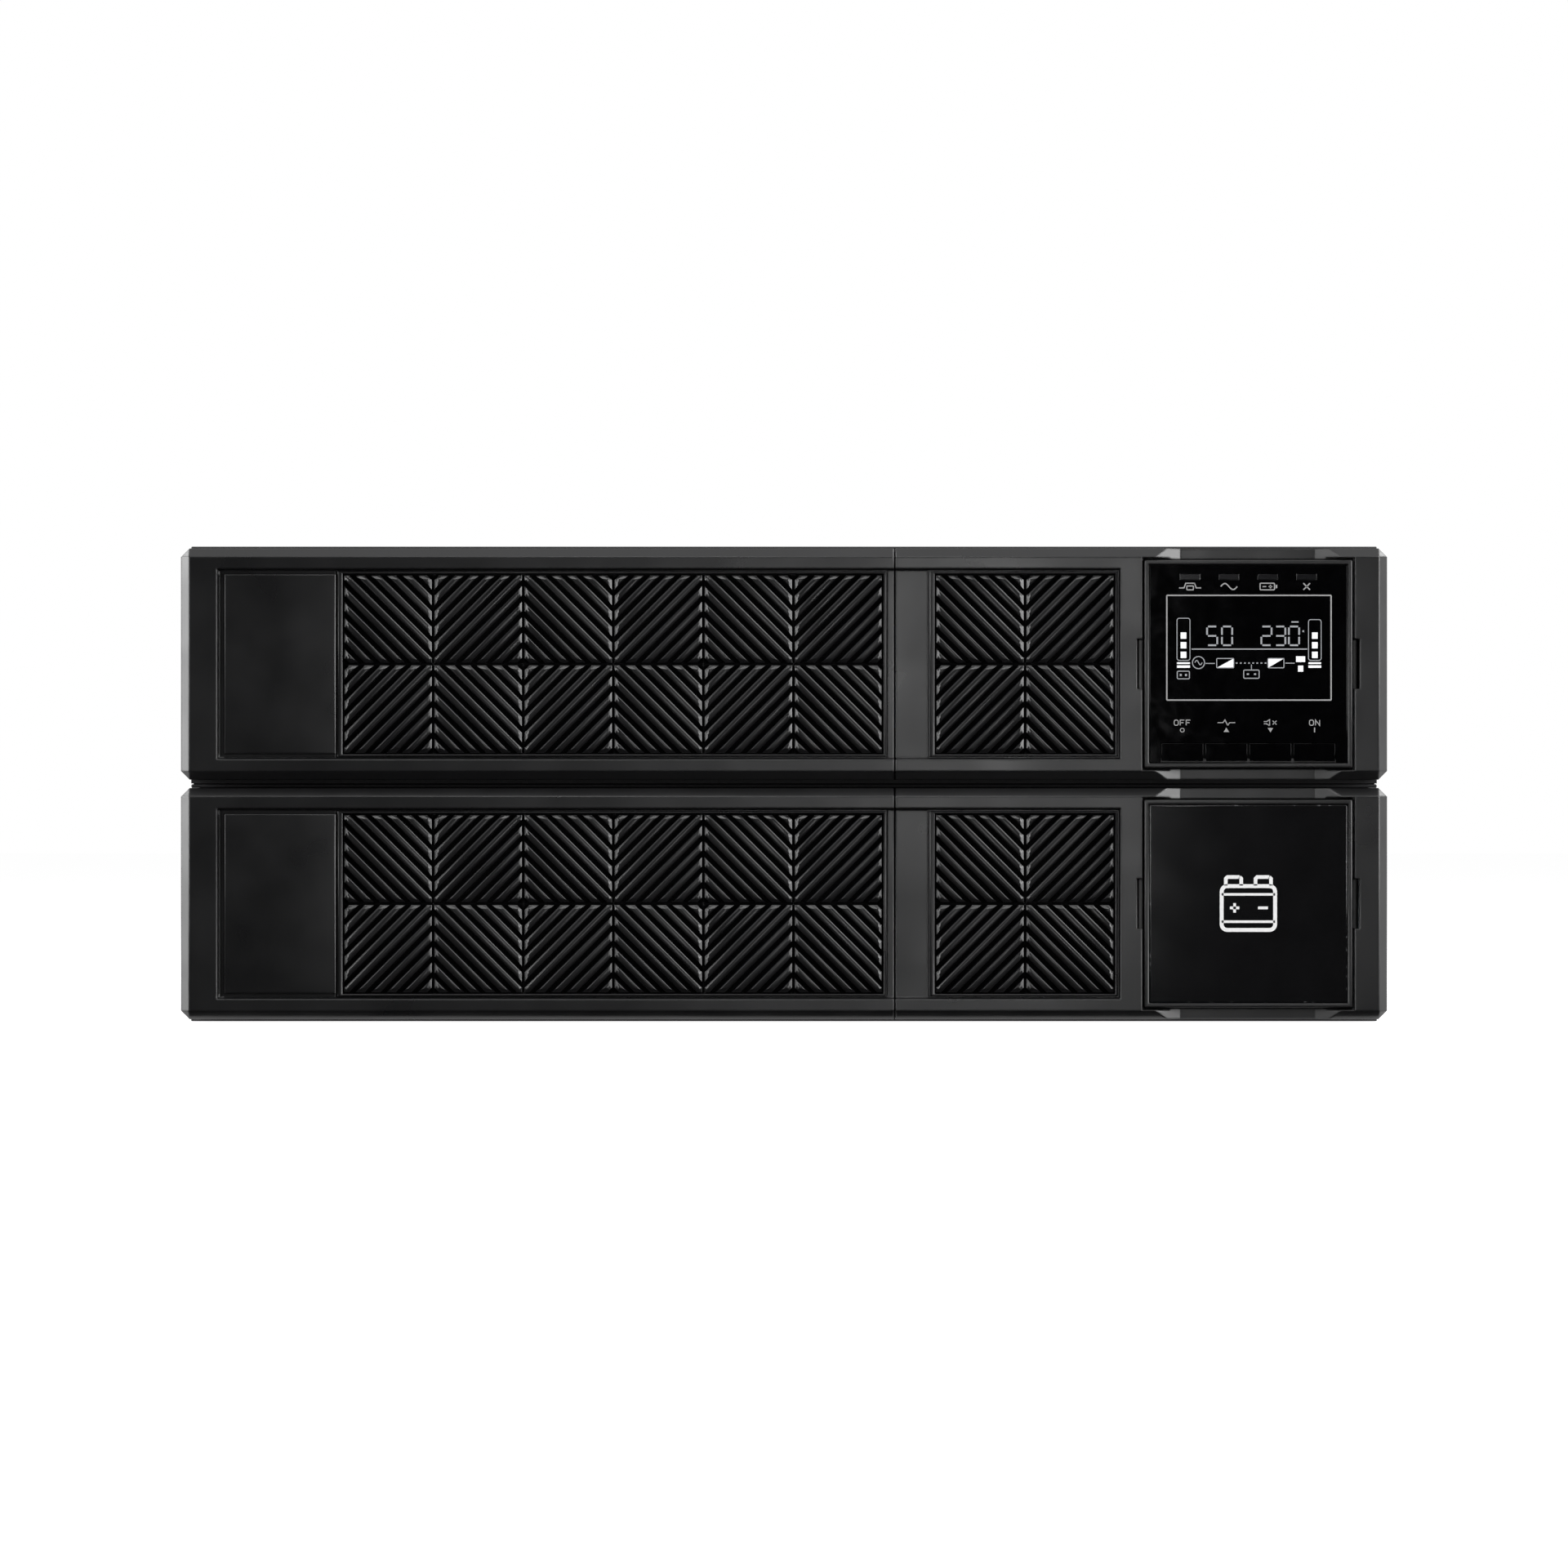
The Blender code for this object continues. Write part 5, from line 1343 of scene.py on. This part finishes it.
# The spans of the minus sign and of the three parts of the plus sign, raised on the lid
SIGN_BARS = (
    ((-0.0660, -0.0610), (0.0145, 0.0157)),
    ((0.0610, 0.0660), (0.0145, 0.0157)),
    ((0.0629, 0.0641), (0.0126, 0.0143)),
    ((0.0629, 0.0641), (0.0159, 0.0176)),
)


def block_rings(points, a, b, radius, rings):
    """The rings of a round-cornered block on a battery, from its spans along and across."""
    loops = []
    for height, inset in rings:
        spans = (a[0] + inset, a[1] - inset), (b[0] + inset, b[1] - inset)
        loops.append(points(height, round_box(*spans, radius)))
    return loops


def battery_points(name, up):
    """Gives what places outlines at a height over the foot of a battery whose lid faces this way."""
    low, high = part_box(name)
    foot = (low + high) / 2 - up * BATTERY_REACH / 2
    along, across = Vector((up.y, up.x, 0.0)), Vector((0.0, 0.0, 1.0))
    return lambda height, outline: [foot + up * height + along * a + across * b for a, b in outline]


for side, count in (("left", 6), ("right", 4)):
    body = side + "_battery_drawer"
    seats = {-1: bmesh.new(), 1: bmesh.new()}
    tabs = bmesh.new()
    for number in range(1, count + 1):
        name = f"{side}_battery_{number}"
        up = Vector((0, 1, 0)) if side == "right" else Vector((1 if number % 2 else -1, 0, 0))
        points = battery_points(name, up)
        shape = bmesh.new()
        loft(shape, block_rings(points, *CASE_SPANS, CASE_CORNER, CASE_RINGS))
        loft(shape, block_rings(points, *VALVE_SPANS, CASE_CORNER, VALVE_RINGS))
        for spans in SIGN_BARS:
            mark = block(*spans)[0]
            loft(shape, [points(LID_FACE - 0.0002, mark), points(LID_FACE + 0.0004, mark)])
        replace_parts(piece(name + "_case", shape, battery_abs, body), name)
        for pole, seat in seats.items():
            middle = pole * TAB_PLACE
            spans = (middle - SEAT_HALF, middle + SEAT_HALF), SEAT_SPAN
            loft(seat, block_rings(points, *spans, SEAT_CORNER, SEAT_RINGS))
            blade = []
            for height, thick, wide in TAB_RINGS:
                blade.append(points(height, block((middle - thick, middle + thick), (-wide, wide))[0]))
            loft(tabs, blade)
    piece(side + "_plus_seats", seats[1], red_abs, body)
    piece(side + "_minus_seats", seats[-1], matt_abs, body)
    piece(side + "_battery_tabs", tabs, plated_brass, body)

# Converter
# The power module's board carries two extruded heat sinks, three bus capacitors in shrunk sleeves
# and two chokes wound on rings. The display has a board and an LCD panel of its own.

# Extruded aluminium: pale metal with die lines 1.5 mm apart along the fins.
aluminium = mottled(
    "aluminium_extruded",
    ("c9cbcd", "dcdddf"),
    width=1.5,
    detail=3.0,
    finish={"Metallic": 1.0},
    gloss=(0.32, 0.48),
    stretch=(1.0, 0.02, 1.0),
)
dress(aluminium, 0.0003, "rectifier_heat_sink", "inverter_heat_sink")

# Circuit board: green lacquer over copper tracks, which show as paler lines 5 mm apart.
laminate, tree = material("glass_laminate_with_green_lacquer")
place = add(tree, "ShaderNodeTexCoord").outputs["Object"]
tracks = add(
    tree,
    "ShaderNodeTexBrick",
    {
        "Scale": per_metre(10),
        "Mortar Size": 0.06,
        "Color1": linear("12462a"),
        "Color2": linear("0f3d25"),
        "Mortar": linear("1f6a3e"),
    },
    {"Vector": place},
)
shader = add(
    tree,
    "ShaderNodeBsdfPrincipled",
    {"IOR": 1.52, "Roughness": 0.35},
    {"Base Color": tracks.outputs["Color"]},
)
add(tree, "ShaderNodeOutputMaterial", None, {"Surface": shader.outputs["BSDF"]})
dress(laminate, 0.0001, "main_board", "display_board")

# Sleeve: blue PVC shrunk on the cans, glossy, with fine creases round it every 4 mm.
sleeve, tree = material("blue_pvc_shrunk_sleeve")
place = add(tree, "ShaderNodeTexCoord").outputs["Object"]
crease = add(
    tree,
    "ShaderNodeTexWave",
    {"Scale": per_metre(4) / 20, "Distortion": 3.0, "Detail": 2.0},
    {"Vector": place},
    bands_direction="Z",
)
colour = add(
    tree,
    "ShaderNodeMix",
    {6: linear("1f2c58"), 7: linear("26356a")},
    {0: crease.outputs["Fac"]},
    data_type="RGBA",
)
skin = add(tree, "ShaderNodeBump", {"Strength": 0.2, "Distance": 0.0001}, {"Height": crease.outputs["Fac"]})
shader = add(
    tree,
    "ShaderNodeBsdfPrincipled",
    {"IOR": 1.53, "Roughness": 0.3},
    {"Base Color": colour.outputs[2], "Normal": skin.outputs["Normal"]},
)
add(tree, "ShaderNodeOutputMaterial", None, {"Surface": shader.outputs["BSDF"]})
dress(sleeve, 0.001, "bus_capacitor_1", "bus_capacitor_2", "bus_capacitor_3")

# Winding: enamelled copper wire 1.6 mm thick, laid side by side over the ring. Each turn is painted bright
# copper on its crest as a highlight, and dark brown in the grooves between turns as shade.
winding, tree = material("copper_wire_enamelled")
place = add(tree, "ShaderNodeTexCoord").outputs["Object"]
turns = add(
    tree,
    "ShaderNodeTexWave",
    {"Scale": per_metre(1.6) / 20},
    {"Vector": place},
    bands_direction="DIAGONAL",
)
# Painted highlight on each turn's crest and painted shade in the grooves between turns
colour = add(
    tree,
    "ShaderNodeMix",
    {6: linear("6e2f16"), 7: linear("c4713c")},
    {0: turns.outputs["Fac"]},
    data_type="RGBA",
)
skin = add(tree, "ShaderNodeBump", {"Strength": 0.6, "Distance": 0.0004}, {"Height": turns.outputs["Fac"]})
shader = add(
    tree,
    "ShaderNodeBsdfPrincipled",
    {"Metallic": 1.0, "Roughness": 0.3},
    {"Base Color": colour.outputs[2], "Normal": skin.outputs["Normal"]},
)
add(tree, "ShaderNodeOutputMaterial", None, {"Surface": shader.outputs["BSDF"]})
dress(winding, 0.003, "boost_choke", "inverter_choke")

# Panel glass: the dark LCD cell behind the window, faintly mottled over 2 mm by its rubbed film.
panel_glass = mottled(
    "lcd_glass_polished",
    ("0a0b0c", "101213"),
    width=2,
    detail=2.0,
    finish={"IOR": 1.52, "Roughness": 0.08},
)
dress(panel_glass, 0.0001, "lcd_module")

# Studio
# The object stands on white paper in a white room. Soft boxes to the left and right, above it and
# before its front light it, and black flags in front keep its glossy face dark.
floor_mesh = bpy.data.meshes.new("floor")
floor_mesh.from_pydata([(-8, -8, 0), (8, -8, 0), (8, 8, 0), (-8, 8, 0)], [], [(0, 1, 2, 3)])
floor = bpy.data.objects.new("floor", floor_mesh)
floor.location.z = -0.0002
bpy.context.scene.collection.objects.link(floor)


def showing(tree):
    """One for rays from the camera, a reflection or glass, which show a surface, and nought for others."""
    rays = add(tree, "ShaderNodeLightPath")
    seen = add(
        tree,
        "ShaderNodeMath",
        None,
        {0: rays.outputs["Is Camera Ray"], 1: rays.outputs["Is Glossy Ray"]},
        operation="MAXIMUM",
    )
    shown = add(
        tree,
        "ShaderNodeMath",
        None,
        {0: seen.outputs["Value"], 1: rays.outputs["Is Transmission Ray"]},
        operation="MAXIMUM",
    )
    return shown.outputs["Value"]


# Paper: white to the camera and in reflections, where it still takes the object's shadow.
paper, tree = material("white_paper")
lit_part = add(tree, "ShaderNodeBsdfDiffuse", {"Color": linear("c8c8c8")})
white_part = add(tree, "ShaderNodeEmission", {"Color": linear("ffffff"), "Strength": 0.94})
both = add(
    tree,
    "ShaderNodeAddShader",
    None,
    {0: lit_part.outputs["BSDF"], 1: white_part.outputs["Emission"]},
)
mixed = add(
    tree,
    "ShaderNodeMixShader",
    None,
    {0: showing(tree), 1: lit_part.outputs["BSDF"], 2: both.outputs["Shader"]},
)
add(tree, "ShaderNodeOutputMaterial", None, {"Surface": mixed.outputs["Shader"]})
floor_mesh.materials.append(paper)

# Room: plain even light on every surface, and white to the camera and in reflections.
world = bpy.data.worlds.new("studio")
bpy.context.scene.world = world
world.use_nodes = True
tree = world.node_tree
tree.nodes.clear()
even = add(tree, "ShaderNodeBackground", {"Color": linear("ffffff"), "Strength": 0.08})
white = add(tree, "ShaderNodeBackground", {"Color": linear("ffffff"), "Strength": 1.0})
mixed = add(
    tree,
    "ShaderNodeMixShader",
    None,
    {0: showing(tree), 1: even.outputs["Background"], 2: white.outputs["Background"]},
)
add(tree, "ShaderNodeOutputWorld", None, {"Surface": mixed.outputs["Shader"]})

# Flags: black velvet behind the camera and on the floor before it, which only reflections show.
velvet, tree = material("black_velvet")
pile = add(tree, "ShaderNodeTexNoise", {"Scale": per_metre(2), "Detail": 2.0})
colour = add(
    tree,
    "ShaderNodeMix",
    {6: linear("020202"), 7: linear("050505")},
    {0: pile.outputs["Fac"]},
    data_type="RGBA",
)
shader = add(tree, "ShaderNodeBsdfDiffuse", None, {"Color": colour.outputs[2]})
add(tree, "ShaderNodeOutputMaterial", None, {"Surface": shader.outputs["BSDF"]})
flag_mesh = bpy.data.meshes.new("black_flags")
flag_reach, flag_near, flag_far, flag_low, flag_high = 5.0, -0.2905, -4.3, 0.0005, 4.0
flag_path = (flag_near, flag_low), (flag_far, flag_low), (flag_far, flag_high)
flag_mesh.from_pydata(
    [(x, y, z) for y, z in flag_path for x in (-flag_reach, flag_reach)],
    [],
    [(0, 1, 3, 2), (2, 3, 5, 4)],
)
flag_mesh.materials.append(velvet)
flags = bpy.data.objects.new("black_flags", flag_mesh)
flags.visible_camera = False
flags.visible_diffuse = False
flags.visible_shadow = False
flags.visible_transmission = False
bpy.context.scene.collection.objects.link(flags)

target = Vector((0, -0.29, 0.087))


def soft_box(name, where, width, height, radiance):
    """An area lamp of a given brightness that faces the front of the object."""
    lamp = bpy.data.lights.new(name, "AREA")
    lamp.shape = "RECTANGLE"
    lamp.size = width
    lamp.size_y = height
    lamp.energy = radiance * math.pi * width * height
    box = bpy.data.objects.new(name, lamp)
    box.location = where
    box.rotation_euler = (target - Vector(where)).to_track_quat("-Z", "Y").to_euler()
    box.visible_camera = False
    bpy.context.scene.collection.objects.link(box)


soft_box("left_box", (-2.3, -0.2, 0.5), 1.1, 1.3, 9.0)
soft_box("left_front_box", (-1.45, -1.55, 0.35), 0.42, 0.8, 11.0)
soft_box("right_box", (2.0, -1.2, 0.38), 1.4, 0.8, 10.0)
soft_box("high_right_box", (1.5, -0.75, 1.55), 1.0, 1.0, 8.0)
soft_box("back_right_box", (1.5, 0.4, 1.55), 0.7, 0.7, 9.0)
soft_box("back_left_box", (-1.5, 0.4, 1.45), 0.6, 0.6, 8.0)
soft_box("near_box", (0.108, -1.25, 0.14), 0.05, 0.3, 14.0)
soft_box("high_front_box", (-0.1, -1.2, 1.2), 0.6, 0.3, 5.5)

# Camera
# The camera looks straight on to the bezels from far off, through a long lens.
# The picture takes in 568.9 mm at their face.
camera_data = bpy.data.cameras.new("camera")
camera = bpy.data.objects.new("camera", camera_data)
distance = 3.4
picture_width = 0.5689
eye_level = 0.0868
camera_data.lens = camera_data.sensor_width * distance / picture_width
camera_data.clip_end = 50.0
camera.location = (0.0, cad_box[0][1] - distance, eye_level)
camera.rotation_euler = (math.radians(90), 0.0, 0.0)
bpy.context.scene.collection.objects.link(camera)
bpy.context.scene.camera = camera
bpy.context.scene.view_settings.view_transform = "Standard"
